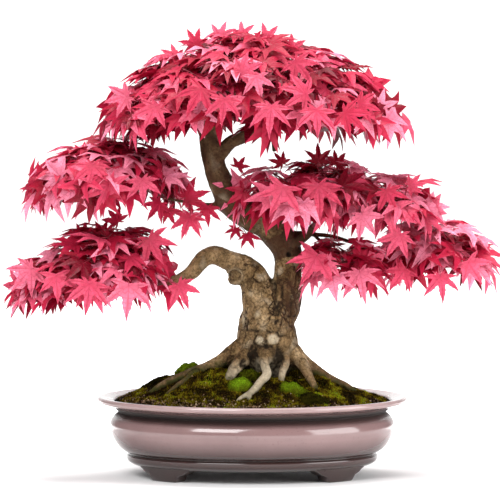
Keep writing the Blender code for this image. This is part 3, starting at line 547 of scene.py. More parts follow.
# Wood: the routes of trunk, limbs and roots, as x, y, z and radius in millimetres
woodRoutes = {
    "core": ((14, 0, 72, 17), (14, 0, 98, 21), (14.5, 0, 110, 24.5), (15, 0, 121, 29.5), (15, 0, 132, 31),
             (14.5, 0, 142, 30), (15, 0, 154, 28), (18, 0, 166, 25.5), (21, 0, 178, 22), (23, 0, 188, 13)),
    "mainStem": ((24, 0, 152, 16), (31, 0, 172, 17.5), (34.5, 0, 187, 16), (36, 1, 207, 14),
                 (36.4, 2, 219.5, 14.2), (32, 3, 233, 15), (17, 4, 252.5, 16.5), (-2, 4, 264, 16.5),
                 (-20, 3, 275, 14.5), (-28, 1, 289.8, 13.3), (-34.5, 0, 303, 12), (-39, 0, 318, 11),
                 (-42.5, 1, 332, 10), (-44, 3, 343, 9.4), (-41, 5, 355, 8.5), (-30, 6, 373, 7.4),
                 (-13, 6, 392, 6)),
    "leftStem": ((9, 0, 150, 15), (7, -1, 174, 17.5), (5, -2, 191, 16.5), (-2, -3, 204, 14.5),
                 (-11.5, -4, 212, 12), (-25.5, -6, 218.5, 10.2), (-36, -7, 222.8, 9.7),
                 (-46, -9, 221, 9), (-53.5, -11, 213.8, 8.1), (-60.5, -13, 206, 7.4),
                 (-69.5, -14, 200.5, 6.2), (-80, -15, 197.5, 5.2), (-91, -16, 196, 4.6)),
    "leftKnot": ((-9, -5, 202, 9.5), (-17, -6.5, 202.5, 9.4), (-22, -8, 202.5, 7.4)),
    "upperRightLimb": ((-36, 0, 319, 8), (-22, -1, 335, 6.6), (-10, -2, 340.5, 6.4), (14, -2, 353, 5.6),
                       (38, 0, 366, 4.8), (62, 2, 375, 4)),
    "deadStub": ((21, -2, 356, 3.6), (21.5, -4, 341, 3), (22.5, -5, 326.5, 2.6)),
    "leftMidLimb": ((-27, 2, 273, 4), (-40, 1, 272.8, 2.4), (-52, 0, 273.8, 1.9), (-67, -1, 275.8, 1.8),
                    (-86, -2, 279.5, 1.8)),
    "rightMidLimb": ((28, -2, 231, 8), (44, -6, 236, 5.4), (54, -10, 243, 4.8), (62, -14, 252, 4.4)),
    "rightLowLimb": ((34, 4, 242, 5), (48, 6, 243.5, 3), (64, 6, 242.5, 2.4), (81, 5, 240.5, 2.2),
                     (100, 5, 234.5, 2), (119, 6, 228.5, 1.9), (133, 6, 225, 1.9), (150, 6, 224.5, 1.8)),
    "centreLowLimb": ((62, 6, 242.5, 2.2), (66, -4, 239, 2), (74, -14, 233, 1.8)),
    "root1": ((2, -4, 138, 12), (-18, -10, 125.5, 9.4), (-30, -14, 118, 7.4), (-42, -17, 112.5, 6.2),
              (-57, -20, 107, 5.8), (-70, -23, 102.5, 4.8), (-84, -26, 97.5, 4), (-96, -29, 91, 3),
              (-108, -31, 82, 2)),
    "root2": ((-54, -20, 107, 3.6), (-66, -33, 100.5, 3), (-76, -44, 95, 2.4), (-86, -52, 87, 1.8)),
    "root3": ((4, -12, 132, 9.5), (-9, -25, 120.5, 7.8), (-17, -34, 111.5, 6.4), (-24, -42, 102, 4.6),
              (-31, -50, 90, 3.2)),
    "root4": ((13, -14, 134, 11), (11.5, -27, 124, 7), (13, -36, 114.5, 4.5), (14.6, -43.5, 106.5, 4.9),
              (8, -52, 100, 4.1), (4, -61, 95.2, 4.3), (-2.6, -70, 90.5, 3.3), (-12, -79, 86, 2.5),
              (-20, -85, 77, 1.6)),
    "root5": ((-1, -69, 90.5, 2.6), (-3, -79, 86.5, 2), (-4, -87, 77, 1.4)),
    "root6": ((27, -14, 130, 8), (33, -26, 118, 5), (30.5, -34, 109, 3.8), (28, -41, 97, 3)),
    "root7": ((33, -7, 133, 12), (45, -13, 122, 8), (52, -19, 112, 5.8), (57, -27, 103, 4.6),
              (62, -36, 94, 3.6), (67, -45, 84, 2.6)),
    "root8": ((35, 2, 126, 11), (54, 3, 112.5, 7.6), (68, 3, 103.5, 5.6), (81, 2, 96.5, 4.4),
              (95, 0, 91, 3.2), (110, -3, 80, 2)),
    "root12": ((30, 4, 126, 10), (41, 10, 113, 8.6), (50, 15, 101, 6), (58, 20, 92, 4)),
    "root9": ((2, 10, 136, 12), (-12, 24, 121, 9), (-24, 36, 108.5, 6.6), (-38, 48, 98, 4.6),
              (-52, 57, 85, 2.8)),
    "root10": ((18, 13, 136, 12), (20, 30, 119, 8.6), (18, 44, 105, 6), (12, 58, 94.5, 4.2),
               (8, 70, 82, 2.6)),
    "root11": ((30, 9, 134, 11), (44, 24, 116, 8), (56, 35, 101.5, 5.4), (68, 44, 91, 3.8),
               (80, 52, 80, 2.4)),
}
barkShape = {
    "voxel": 1.06, "smoothing": 9, "ridge": 0.95, "grain": 0.3,
    "hole": (36.6, 224.0), "scar": (-17.0, 203.0),  # X and height
    "fold": ((17.5, 203), (23, 190), (24.5, 176), (25.5, 165)),  # where the two stems meet, by X and height
    "cracks": (((25.5, 165), (23.5, 155), (26, 147)),  # X and height along each
               ((26, 163), (33, 161), (40, 162), (47, 161)), ((31, 192), (29.5, 178), (33, 168)),
               ((-5, 150), (4, 148.5), (12, 148.5), (20, 147), (27, 144), (35, 143)),
               ((40, 182), (38, 172), (42, 161)), ((-7, 168), (-4, 158), (-6, 149))),
    "crackReach": 1.9, "foldReach": 3.6, "holeReach": 2.9,
    "crackDepth": 1.5, "foldDepth": 2.4, "hollowDepth": 3.0, "holeDepth": 3.4, "knobRise": 2.6,
    "callus": (7.2, 1.5, 1.9),  # the ring round the scar: its radius, width and rise
    "knobs": ((8, 139.5, 4.4), (20.8, 140.6, 5.4)),  # X, height, radius
    "hollows": ((0.5, 125, 5.5, 13), (27, 123, 4.6, 13),  # X, height, half width, half height
                (-9, 117, 4, 7), (14, 133.5, 4, 3)),
    # Pale roots by name: the height below which they pale, over what height, and how much
    "paleRoots": {"root4": (124, 13, 0.85), "root5": (124, 13, 0.85), "root3": (122, 14, 0.55),
                  "root6": (122, 14, 0.55)},
    "agedRoots": ("root1", "root2", "root8"),
    "agedLimbs": ("rightMidLimb", "rightLowLimb", "leftMidLimb", "centreLowLimb", "deadStub"),
    "seams": ((95, 0.13, 1.0), (240, 0.17, 0.75)),  # scale, width and strength of each net of cracks
}


def smoothRoute(route, steps=6):  # a soft curve through a route's points
    ends = [route[0]] + list(route) + [route[-1]]
    made = []
    for index in range(1, len(ends) - 2):
        before, start, finish, after = (Vector(p) for p in ends[index - 1:index + 3])
        for step in range(steps):
            t = step / steps
            made.append(0.5 * (2 * start + (finish - before) * t
                               + (2 * before - 5 * start + 4 * finish - after) * t ** 2
                               + (3 * start - before - 3 * finish + after) * t ** 3))
    made.append(Vector(route[-1]))
    return made


def tubesFrom(name, routes, sides):  # bevelled curves turned to one mesh
    curve = bpy.data.curves.new(name, "CURVE")
    curve.dimensions = "3D"
    curve.bevel_depth = mm
    curve.bevel_resolution = sides
    curve.use_fill_caps = True
    for route in routes:
        spline = curve.splines.new("POLY")
        spline.points.add(len(route) - 1)
        for point, stop in zip(spline.points, route):
            point.co = (*at(*stop[:3]), 1)
            point.radius = stop[3]
    onlySelect(linked(name, curve))
    bpy.ops.object.convert(target="MESH")
    return bpy.context.object


def nearLine(x, z, line):  # distance to a broken line drawn on the trunk's front
    best = 99.0
    here = Vector((x, z))
    for start, finish in zip(line, line[1:]):
        start, way = Vector(start), Vector(finish) - Vector(start)
        share = clamp((here - start).dot(way) / way.length_squared)
        best = min(best, (start + way * share - here).length)
    return best


def barkMaterial():
    material, tree, shader = newMaterial("mapleBark")
    place, rough = objectPlace(tree), attribute(tree, "rough")
    broad = noiseOn(tree, place, 55, 5, 0.65, (1, 1, 0.55))
    fleck = noiseOn(tree, place, 420, 4, 0.7)
    sway = addNode(tree, "TexNoise", {"Vector": place, "Scale": 130, "Detail": 4})
    bent = addNode(tree, "VectorMath", {0: sway.outputs["Color"], 1: (0.011, 0.011, 0.011), 2: place},
                   operation="MULTIPLY_ADD")
    colour = ramp(tree, broad, ((0.32, (0.045, 0.023, 0.008)), (0.45, (0.15, 0.09, 0.036)),
                                (0.56, (0.3, 0.195, 0.092)), (0.7, (0.55, 0.41, 0.24))))
    plain = ramp(tree, broad, ((0.35, (0.12, 0.075, 0.034)), (0.62, (0.23, 0.15, 0.077))))
    flecks = ramp(tree, fleck, ((0.36, (0.12, 0.09, 0.06)), (0.5, (0.95, 0.93, 0.9)),
                                (0.7, (1.5, 1.45, 1.35))))
    colour = mixColour(tree, 0.7, mixColour(tree, rough, plain, colour), flecks, "MULTIPLY")
    colour = mixColour(tree, attribute(tree, "pale"), colour, (0.56, 0.48, 0.34))
    seams = []
    for scale, wide, strong in barkShape["seams"]:
        shrunk = addNode(tree, "Mapping", {"Vector": bent.outputs["Vector"], "Scale": (1, 1, 0.7)})
        cells = addNode(tree, "TexVoronoi", {"Vector": shrunk.outputs["Vector"], "Scale": scale},
                        feature="DISTANCE_TO_EDGE")
        seam = ramp(tree, cells.outputs["Distance"], ((0.0, strong), (wide, 0)))
        patches = ramp(tree, noiseOn(tree, place, scale * 0.35, 3), ((0.36, 0), (0.52, 1)))
        seams.append(mixColour(tree, 1.0, seam, patches, "MULTIPLY"))
    seam = mixColour(tree, rough, (0, 0, 0), mixColour(tree, 1.0, *seams, "ADD"))
    colour = mixColour(tree, seam, colour, (0.016, 0.008, 0.003))
    # the last layer darkens the cracks and paints shade in the hollows, the fold, the hole, round the knobs
    # and low between the roots; the first darkens aged bark and paints shade on the trunk's right side
    for layer, shade in (("agedAndShaded", (0.05, 0.021, 0.011)), ("mossy", (0.045, 0.05, 0.008)),
                         ("crackAndShade", (0.013, 0.008, 0.004))):
        colour = mixColour(tree, attribute(tree, layer), colour, shade)
    fill(tree, shader, {"Base Color": colour, "Roughness": 0.8, "Specular IOR Level": 0.12})
    bumpFrom(tree, shader, mixColour(tree, seam, fleck, (0, 0, 0)), 0.002)
    return material


def frontMarks(p):  # how far cracks, fold and hollows push the front's bark in or out, and how dark: dark cracks, with painted shade in the fold and the hollows
    push = crackAndShade = 0.0
    wander = 2.4 * flatLumps(p.x, p.z, 6, 7) + 0.9 * flatLumps(p.x, p.z, 1.8, 2)  # bends the lines
    for line in barkShape["cracks"]:
        near = nearLine(p.x + wander, p.z + wander, line) / barkShape["crackReach"]
        if near < 1:
            deep = barkShape["crackDepth"] * (1 - near) * clamp(0.5 + 1.5 * lumps(p, 5), 0.12)
            push -= deep
            crackAndShade = max(crackAndShade, min(deep, 0.95))
    near = nearLine(p.x + wander * 0.6, p.z, barkShape["fold"]) / barkShape["foldReach"]
    if near < 1:
        push -= barkShape["foldDepth"] * (1 - near) ** 1.5
        # painted shade in the fold where the stems meet
        crackAndShade = max(crackAndShade, 0.9 * (1 - near) ** 0.8 * (0.9 + 0.5 * lumps(p, 3)))
    for spotX, spotZ, halfX, halfZ in barkShape["hollows"]:
        inside = 1 - ((p.x + wander - spotX) / halfX) ** 2 - ((p.z - spotZ) / halfZ) ** 2
        if inside > 0:
            push -= barkShape["hollowDepth"] * inside
            # painted shade in the hollow
            crackAndShade = max(crackAndShade, min((1.5 + 1.5 * lumps(p, 2.5)) * inside, 0.96))
    return push, crackAndShade


def knobMarks(p):  # the same for the two knobs, with how pale their faces are and the painted shade in the crease round each
    push = crackAndShade = pale = 0.0
    for knobX, knobZ, size in barkShape["knobs"]:
        far = hypot(p.x - knobX, p.z - knobZ) * (1 + 0.2 * lumps(p, 4))
        if far < size * 1.6:
            push += barkShape["knobRise"] * bell(far, size)
            pale = max(pale, 0.85 * max(0, 1 - (far / size / 1.1) ** 4) * (0.78 + 0.5 * lumps(p, 1.6)))
            # painted shade in the crease round the knob
            crackAndShade = max(crackAndShade, bell(far - size * 1.3, 1.2) * (0.75 + 0.8 * lumps(p, 3)))
    return push, crackAndShade, pale


def scarMarks(p):  # the same for the left branch's scar and the callus round it, with painted shade in the groove inside the callus
    scarX, scarZ = barkShape["scar"]
    far = hypot(p.x - scarX, p.z - scarZ) + 1.3 * lumps(p, 3.2)
    if far >= 11:
        return 0.0, 0.0, 0.0
    ring, ringWidth, rise = barkShape["callus"]
    push = rise * bell(far - ring, ringWidth) - 1.2 * max(0.0, 1 - (far / 5.5) ** 2)
    push += 0.5 * lumps(p, 1.6) * max(0.0, 1 - far / 6)
    # dark cracked wood in the scar, and painted shade in the groove just inside the callus
    crackAndShade = max(1.1 * max(0.0, lumps(p, 1.5) + 0.1) * (far < 6.2),
                0.75 * bell(far - 5.2, 0.8) * (0.7 + lumps(p, 2)))
    return push, crackAndShade, 0.16 * bell(far - 7.4, 1.3)


def agedAndShadedShare(p, owner):  # how far age has darkened the bark, and painted shade with darker bark on the trunk's right side
    agedAndShaded = clamp((p.z - 226) / 46, 0, 0.8) * (0.85 + 0.6 * lumps(p, 9))
    if owner in barkShape["agedLimbs"]:
        agedAndShaded = 0.85
    if owner in barkShape["agedRoots"]:
        agedAndShaded = clamp((118 - p.z) / 14, 0, 0.6) * (0.8 + 0.7 * lumps(p, 6))
    # darker bark and painted shade on the trunk's right side, less of it higher up
    side = clamp((p.x - 24 + 4 * lumps(p, 8)) / 10) * clamp((p.z - 146) / 14)
    return max(agedAndShaded, side * clamp((218 - p.z) / 22, 0.3) * (0.55 + 0.45 * lumps(p, 7)))


def roughShare(p):  # how cracked the bark is: less up the stem, on its belly and on the left branch
    limb = clamp((p.z - 232) / 22) * 0.6
    belly = 0.75 * exp(-((p.x - 4) / 13) ** 2 - ((p.z - 172) / 20) ** 2)
    left = 0.5 * clamp((-4 - p.x) / 12) * clamp((p.z - 196) / 12)
    return max(0.1, 1 - limb - belly - left)


def carveBark(piece):  # moves the wood's points in and out, and notes the colour of each
    stops = [(stop, name) for name, route in fineRoutes.items() for stop in route]
    tree = kdtree.KDTree(len(stops))
    for index, (stop, _) in enumerate(stops):
        tree.insert(at(*stop[:3]), index)
    tree.balance()
    layers = {name: [] for name in ("crackAndShade", "pale", "agedAndShaded", "mossy", "rough")}
    holeX, holeZ = barkShape["hole"]
    moved = []
    for vertex in piece.data.vertices:
        p = (vertex.co - potCentre) / mm
        _, index, gap = tree.find(vertex.co)
        (*_, radius), owner = stops[index]
        amount = clamp(radius / 15, 0.1)
        ridge = noise.fractal(Vector((p.x / 10, p.y / 10, p.z / 27)), 0.9, 2.1, 3)
        grain = noise.noise(Vector((p.x / 2.6, p.y / 2.6, p.z / 4.2)))
        plate = Vector((p.x / 5.5, p.y / 5.5, p.z / 8.5)) + Vector((grain, ridge, 0)) * 0.35
        nearest, second, *_ = noise.voronoi(plate)[0]
        seam = max(0.0, 1 - (second - nearest) / 0.1) * (0.4 + 0.6 * lumps(p, 17, (9, 2, 1)))
        seam = max(seam, 0) * amount
        push = barkShape["ridge"] * ridge * amount + barkShape["grain"] * grain * amount - 0.35 * seam
        pale = max(0.0, lumps(p, 11, (4, 1, 7)) - 0.14) * 1.1 * amount
        # painted shade on the wood that lies back between the roots, low on the trunk
        between = clamp((gap / mm / radius - 1.2) / 0.35) * clamp((133 - p.z) / 10)
        crackAndShade = max(0.55 * seam, 0.93 * between * (0.9 + 0.4 * lumps(p, 3)))
        if owner in barkShape["paleRoots"]:
            paleTop, fade, most = barkShape["paleRoots"][owner]
            pale = max(pale, clamp((paleTop - p.z) / fade) * (most + 0.3 * lumps(p, 4)))
        # painted shade low on each root, where it meets the ground
        if owner.startswith("root"):
            crackAndShade = max(crackAndShade, 0.35 * clamp((groundHeight(p.x, p.y) + 5 - p.z) / 5))
        marks = []
        if vertex.normal.y < 0.1 and p.y < 4:
            marks.append(knobMarks(p))
            if p.z < 200:
                marks.append((*frontMarks(p), 0.0))
        if vertex.normal.y < 0.2 and p.y < -5:
            marks.append(scarMarks(p))
        toHole = hypot(p.x - holeX, p.z - holeZ)
        # the hole is painted dark: painted shade inside it
        if vertex.normal.y < 0 and p.y < -4 and toHole < 6:
            sunk = barkShape["holeDepth"] * max(0.0, 1 - (toHole / barkShape["holeReach"]) ** 2)
            marks.append((0.7 * bell(toHole - 3.6, 1.2) - sunk, clamp(3.2 - toHole), 0.0))
        for markPush, markCrackAndShade, markPale in marks:
            push += markPush
            crackAndShade, pale = max(crackAndShade, markCrackAndShade), max(pale, markPale)
        wet = groundHeight(p.x, p.y) + 7 + 5 * lumps(p, 6) - p.z
        layers["rough"].append(roughShare(p) * amount)
        layers["mossy"].append(clamp(wet / 7, 0, 0.85) * (0.5 if pale > 0.5 else 1))
        layers["crackAndShade"].append(min(crackAndShade, 1))
        layers["pale"].append(min(pale, 0.85))
        layers["agedAndShaded"].append(clamp(agedAndShadedShare(p, owner), 0, 0.9))
        moved.extend(vertex.co + vertex.normal * push * mm)
    piece.data.vertices.foreach_set("co", moved)
    for name, values in layers.items():
        setFloats(piece.data, name, values)
    piece.data.update()


fineRoutes = {name: smoothRoute(route) for name, route in woodRoutes.items()}
woodPiece = tubesFrom("trunkWood", fineRoutes.values(), 6)
modify(woodPiece, "REMESH", mode="VOXEL", voxel_size=barkShape["voxel"] * mm)
modify(woodPiece, "SMOOTH", factor=0.5, iterations=barkShape["smoothing"])
carveBark(woodPiece)
woodPiece.data.shade_smooth()
finishPiece(woodPiece, barkMaterial(), "bark", "trunk")
print("trunk done", len(woodPiece.data.polygons))

# Leaves: flat stars are modelled once for each variant and copied all over the pads
leafShape = {
    "five": ((-104, 0.6), (-52, 0.9), (0, 1.0), (52, 0.9), (104, 0.6)),  # turn and length of each lobe
    "seven": ((-134, 0.4), (-90, 0.72), (-45, 0.94), (0, 1.0), (45, 0.94), (90, 0.72), (134, 0.4)),
    "notch": 0.42, "inner": 0.5, "fold": 0.11, "droop": 0.26, "crumple": 0.07, "base": -0.07,
    "coarse": ((0.58, 0.128),),  # share of a lobe's length and half width there
    "toothed": ((0.46, 0.125), (0.55, 0.145), (0.6, 0.116), (0.69, 0.114), (0.74, 0.08), (0.86, 0.045)),
    "tones": ((0.0, (0.13, 0.001, 0.009)), (0.3, (0.3, 0.003, 0.02)), (0.6, (0.53, 0.019, 0.063)),
              (0.8, (0.71, 0.088, 0.165)), (1.0, (0.92, 0.31, 0.44))),
}


def makeLeaf(name, lobes, seed, sides):  # a star of lobes with ribs, one unit long, lying flat
    dice = random.Random(seed)
    spots, ribs = [], []
    for index, (turn, length) in enumerate(lobes):
        if index == 0:
            spots.append(Vector((0, leafShape["base"], 0)))
        else:
            half = radians((turn + lobes[index - 1][0]) / 2)
            deep = leafShape["notch"] * (0.75 + 0.25 * (length + lobes[index - 1][1]) / 2)
            deep *= dice.uniform(0.9, 1.08)
            spots.append(Vector((deep * sin(half), deep * cos(half), 0)))
        angle = radians(turn + dice.uniform(-5, 5))
        reach = length * dice.uniform(0.93, 1.05)
        along = Vector((sin(angle), cos(angle), 0))
        side = Vector((cos(angle), -sin(angle), 0))
        stout = reach * dice.uniform(0.9, 1.12)
        spots += [along * reach * far - side * wide * stout for far, wide in sides]
        spots.append(along * reach)
        spots += [along * reach * far + side * wide * stout for far, wide in reversed(sides)]
        ribs += [0] * (len(sides) + 1) + [1] + [0] * len(sides)
    bpy.ops.mesh.primitive_circle_add(vertices=len(spots), radius=1, location=(0, 0, 0))
    leaf = editNew(name)
    extrudeEdges()
    bpy.ops.transform.resize(value=(0.5, 0.5, 1))
    extrudeEdges()
    bpy.ops.mesh.merge(type="CENTER")
    setMode("OBJECT")
    mesh = leaf.data
    droop = leafShape["droop"] * dice.uniform(0.4, 1.5)
    places = spots + [spot * leafShape["inner"] for spot in spots] + [Vector((0, 0, 0))]
    ribValues = ribs + ribs + [1]
    for vertex, place, onRib in zip(mesh.vertices, places, ribValues):  # droops, with folds between ribs
        place, far = place.copy(), place.length
        place.z = -droop * far ** 2 + (0 if onRib else leafShape["fold"] * far * dice.uniform(0.8, 1.1))
        place.z += leafShape["crumple"] * noise.noise(place * 1.6 + Vector((seed, 0, 0)))
        vertex.co = place
    setMode("EDIT")
    turnOutwards()
    if sum(polygon.normal.z for polygon in mesh.polygons) < 0:
        mesh.flip_normals()
    chart = mesh.uv_layers.new(name="leafMap")
    for loop in mesh.loops:
        co = mesh.vertices[loop.vertex_index].co
        chart.data[loop.index].uv = (0.5 + co.x / 2, 0.5 + co.y / 2)
    setFloats(mesh, "rib", ribValues)
    mesh.shade_smooth()
    return leaf


def makeLeaves(name, count, fives, edge):  # one leaf in so many has five lobes, the others seven
    return [makeLeaf(f"{name}Master{seed}", leafShape["seven" if seed % fives else "five"], seed,
                     leafShape[edge]) for seed in range(count)]


def leafMaterial():
    material, tree, shader = newMaterial("scarletLeaf")
    chart = addNode(tree, "UVMap", uv_map="leafMap").outputs["UV"]
    mottle = noiseOn(tree, chart, 7, 4)
    onRib = attribute(tree, "rib")
    far = addNode(tree, "VectorMath", {0: chart, 1: (0.5, 0.5, 0)}, operation="DISTANCE").outputs["Value"]
    colour = ramp(tree, attribute(tree, "tone"), leafShape["tones"])
    blotches = ramp(tree, mottle, ((0.3, (0.6, 0.45, 0.5)), (0.5, 1), (0.7, (1.1, 1.4, 1.45))))
    colour = mixColour(tree, 0.5, colour, blotches, "MULTIPLY")
    outwards = ramp(tree, far, ((0.02, (0.78, 0.6, 0.66)), (0.22, 1), (0.48, (1.12, 1.3, 1.25))))
    colour = mixColour(tree, 1.0, colour, outwards, "MULTIPLY")
    slant = mathOf(tree, "MULTIPLY_ADD", onRib, 7.0, mathOf(tree, "MULTIPLY", far, 95.0))
    wave = mathOf(tree, "SINE", mathOf(tree, "MULTIPLY_ADD", mottle, 3.0, slant))
    vein = ramp(tree, wave, ((0.72, 0), (0.98, 0.32)))
    rib = ramp(tree, onRib, ((0.88, 0), (0.97, 0.6)))
    colour = mixColour(tree, mixColour(tree, 1.0, rib, vein, "LIGHTEN"), colour, (0.4, 0.012, 0.045))
    fill(tree, shader, {"Base Color": colour, "Roughness": 0.42, "Specular IOR Level": 0.22})
    bumpFrom(tree, shader, mixColour(tree, vein, mottle, (0, 0, 0)), 0.0012, 0.7)
    glow = addNode(tree, "BsdfTranslucent", {"Color": colour})
    fill(tree, tree.nodes["Material Output"], {"Surface": mixShader(tree, 0.3, shader, glow)})
    return material


def twigMaterial(name, dark, light, roughness):
    material, tree, shader = newMaterial(name)
    colour = ramp(tree, noiseOn(tree, objectPlace(tree), 160, 3), ((0.35, dark), (0.65, light)))
    fill(tree, shader, {"Base Color": colour, "Roughness": roughness})
    return material


# Pads: centre, half sizes, steepest angle, spacing of the rosettes, cone share, slope, and the sprays
# that carry the leaves
pads = {
    "crown": ((-1, 2, 348.5), (178, 132, 103), 71, 30, 0.8, 0.01, ("crown", "upperRight")),
    "leftMid": ((-146, 6, 286), (78, 66, 54), 76, 29, 0.3, 0.06, ("leftMid",)),
    "leftLow": ((-160, -16, 188), (82, 68, 68), 75, 29, 0.4, 0.45, ("leftLow",)),
    "rightMid": ((34, -28, 274), (48, 50, 44), 74, 29, 0.2, 0.06, ("rightMid",)),
    "rightCentre": ((76, -14, 274), (42, 50, 52), 74, 29, 0.2, 0.0, ("rightMid",)),
    "rightOuter": ((128, -6, 264), (50, 52, 40), 76, 29, 0.2, -0.08, ("rightMid",)),
    "rightLow": ((188, 8, 212), (52, 52, 46), 76, 29, 0.4, -0.16, ("rightLow",)),
    "centreLow": ((92, -22, 209), (29, 24, 22), 74, 34, 0.2, 0.0, ("centreLow",)),
}
# Sprays: the limb each continues, its hub, and its shoots' ends as pad, angle round and angle down
sprays = {
    "crown": ("mainStem", (-6, 5, 409), {
        "crown": ((75, 78), (112, 80), (142, 82), (168, 82), (194, 82), (221, 82), (250, 80), (283, 78),
                  (150, 42), (215, 42), (90, 36), (270, 40), (5, 26))}),
    "upperRight": ("upperRightLimb", (76, 2, 380), {
        "crown": ((315, 80), (343, 82), (10, 82), (38, 80), (335, 45), (30, 42))}),
    "leftMid": ("leftMidLimb", (-118, 0, 296), {
        "leftMid": ((60, 76), (105, 80), (150, 82), (185, 82), (225, 80), (268, 80), (312, 74),
                    (170, 34), (300, 20))}),
    "leftLow": ("leftStem", (-122, -18, 205), {
        "leftLow": ((55, 74), (100, 80), (145, 82), (182, 82), (220, 80), (260, 80), (304, 76),
                    (175, 36), (320, 20))}),
    "rightMid": ("rightMidLimb", (66, -16, 270), {
        "rightMid": ((95, 66), (150, 48), (205, 62), (245, 78), (290, 78), (170, 20)),
        "rightCentre": ((90, 70), (270, 72), (0, 20)),
        "rightOuter": ((40, 76), (95, 74), (300, 78), (340, 80), (250, 72), (0, 40))}),
    "rightLow": ("rightLowLimb", (172, 6, 226), {
        "rightLow": ((50, 78), (100, 78), (165, 66), (215, 70), (265, 78), (315, 80), (0, 82), (20, 30))}),
    "centreLow": ("centreLowLimb", (84, -24, 214), {
        "centreLow": ((20, 66), (160, 66), (220, 70), (300, 70))}),
}
foliage = {
    "layers": ((1.0, 0.58, 1.0), (0.85, 0.32, 0.6), (0.66, 0.1, 0.36)),  # size, tone and density; the lower tone of the inner layers is painted shade
    "reach": (23, 34), "stalk": (8, 19), "stalkLift": (10, 36), "lift": 7, "liftSpread": 12, "rimLift": 32,
    "roll": 15, "ragged": 0.12, "peak": 0.6, "shootDepth": 0.74, "arch": 0.62, "nodeDepth": (14, 22),
    "clearing": 17, "level": 0.36, "toneSpread": 0.33, "palest": 0.95, "frontTone": (0.62, 0.88),
    "shoot": (2.1, 0.7), "twig": (0.95, 0.5), "stalkRadius": (0.5, 0.35), "frontStalk": (0.55, 0.4),
    # painted light and shade by pad: pads lying in shade, most on the right, are raised in tone, and the
    # crown is lowered
    "padPaintedLight": {"crown": -0.07, "leftMid": 0.2, "rightMid": 0.42, "rightCentre": 0.42, "rightOuter": 0.34,
                "rightLow": 0.34, "centreLow": 0.2, "leftLow": 0.05},
}
# Front leaves that show whole: pad, start, the tip's angle from straight down, reach, tone where given
frontLeaves = (
    ("crown", (19, -130, 380), -3, 30), ("crown", (63, -118, 376), -1, 29),
    ("crown", (91, -105, 372), 51, 29), ("crown", (106, -84, 380), 80, 24),
    ("crown", (53, -105, 391), -104, 29), ("crown", (43, -81, 421), 37, 27),
    ("crown", (4, -105, 408), 11, 24), ("crown", (-50, -107, 396), -26, 31),
    ("crown", (-27, -123, 387), -7, 26), ("crown", (-95, -96, 378), -20, 27),
    ("crown", (-10, -97, 412), 117, 26), ("crown", (-124, -54, 385), -76, 26),
    ("rightMid", (31, -89, 297), -22, 34), ("rightMid", (66, -66, 297), 2, 34),
    ("rightOuter", (134, -53, 291), 22, 25), ("rightOuter", (147, -61, 248), -29, 28),
    ("rightCentre", (109, -57, 268), 33, 28), ("rightOuter", (157, -28, 294), 100, 18),
    ("leftMid", (-158, -57, 317), -6, 26), ("leftMid", (-62, -18, 262), -14, 25),
    ("leftMid", (-109, -59, 302), 7, 26), ("leftLow", (-122, -89, 200), -3, 35),
    ("leftLow", (-73, -41, 196), 23, 27), ("leftLow", (-161, -94, 202), -9, 31),
    ("leftLow", (-194, -84, 209), 3, 30), ("leftLow", (-102, -41, 242), 32, 30),
    ("leftLow", (-219, -60, 214), -42, 30), ("centreLow", (64, -51, 226), -27, 38),
    ("centreLow", (107, -56, 210), 11, 31), ("centreLow", (77, -53, 220), -52, 26),
    ("rightLow", (187, -54, 206), 3, 26), ("rightLow", (152, -38, 211), -36, 26),
    ("rightLow", (215, -44, 219), 34, 28), ("leftMid", (-64, -8, 264), -4, 23),
    ("leftMid", (-45, -4, 270), 5, 20, 0.5), ("leftMid", (-66, -2, 280), 108, 28, 0.5),
    ("leftMid", (-92, -8, 275), -36, 22, 0.6), ("leftMid", (-84, -10, 268), 30, 18, 0.45),
    ("leftLow", (-134, -20, 258), -143, 20, 0.55), ("leftMid", (-5, 25, 241), 24, 17, 0.5),
    ("leftMid", (-16, 24, 247), -20, 14, 0.4), ("rightMid", (-14, -30, 313), 150, 15, 0.4),
    ("rightMid", (-8, -34, 289), -52, 22, 0.5), ("rightCentre", (66, -18, 318), 178, 20, 0.2),
    ("rightCentre", (84, -18, 315), 142, 18, 0.25), ("rightMid", (30, -20, 316), -150, 16, 0.3),
)
# Leaves that stand up along the top of a pad, in the same columns
crestLeaves = (
    ("crown", (-32, -14, 441), 168, 20), ("crown", (-10, -10, 443), -172, 19, 0.75),
    ("crown", (14, -12, 439), 146, 21), ("crown", (38, -16, 430), 128, 20, 0.7),
    ("crown", (-56, -14, 434), -150, 20, 0.6), ("crown", (-76, -16, 421), -128, 20),
    ("crown", (0, -22, 435), 160, 20, 0.5), ("leftMid", (-148, -6, 326), 174, 18, 0.6),
    ("leftMid", (-126, -6, 324), 146, 18, 0.45), ("leftMid", (-168, -8, 322), -146, 18, 0.65),
    ("leftLow", (-170, -14, 243), -160, 17, 0.5), ("leftLow", (-150, -14, 245), 158, 17, 0.4),
)


def padPoint(pad, turn, lean, size=1.0):  # a place on a pad's dome, its normal and the way down
    centre, half, _, _, cone, slope, _ = pads[pad]
    turn, lean = radians(turn), radians(lean)
    straight = lean / (pi / 2)
    way = Vector((((1 - cone) * sin(lean) + cone * straight) * cos(turn),
                  ((1 - cone / 2) * sin(lean) + cone / 2 * straight) * sin(turn),
                  cos(lean) ** (1 + foliage["peak"] * cone * cos(turn) ** 2)))
    size *= 1 + foliage["ragged"] * noise.noise(way * 2.6 + Vector(centre))
    point = Vector((way.x * half[0], way.y * half[1], way.z * half[2])) * size
    point.z += slope * point.x * way.z
    normal = Vector((way.x / half[0], way.y / half[1], way.z / half[2])).normalized()
    down = Vector((cos(lean) * cos(turn) * half[0], cos(lean) * sin(turn) * half[1],
                   -sin(lean) * half[2]))
    return Vector(centre) + point, normal, (down - normal * down.dot(normal)).normalized()


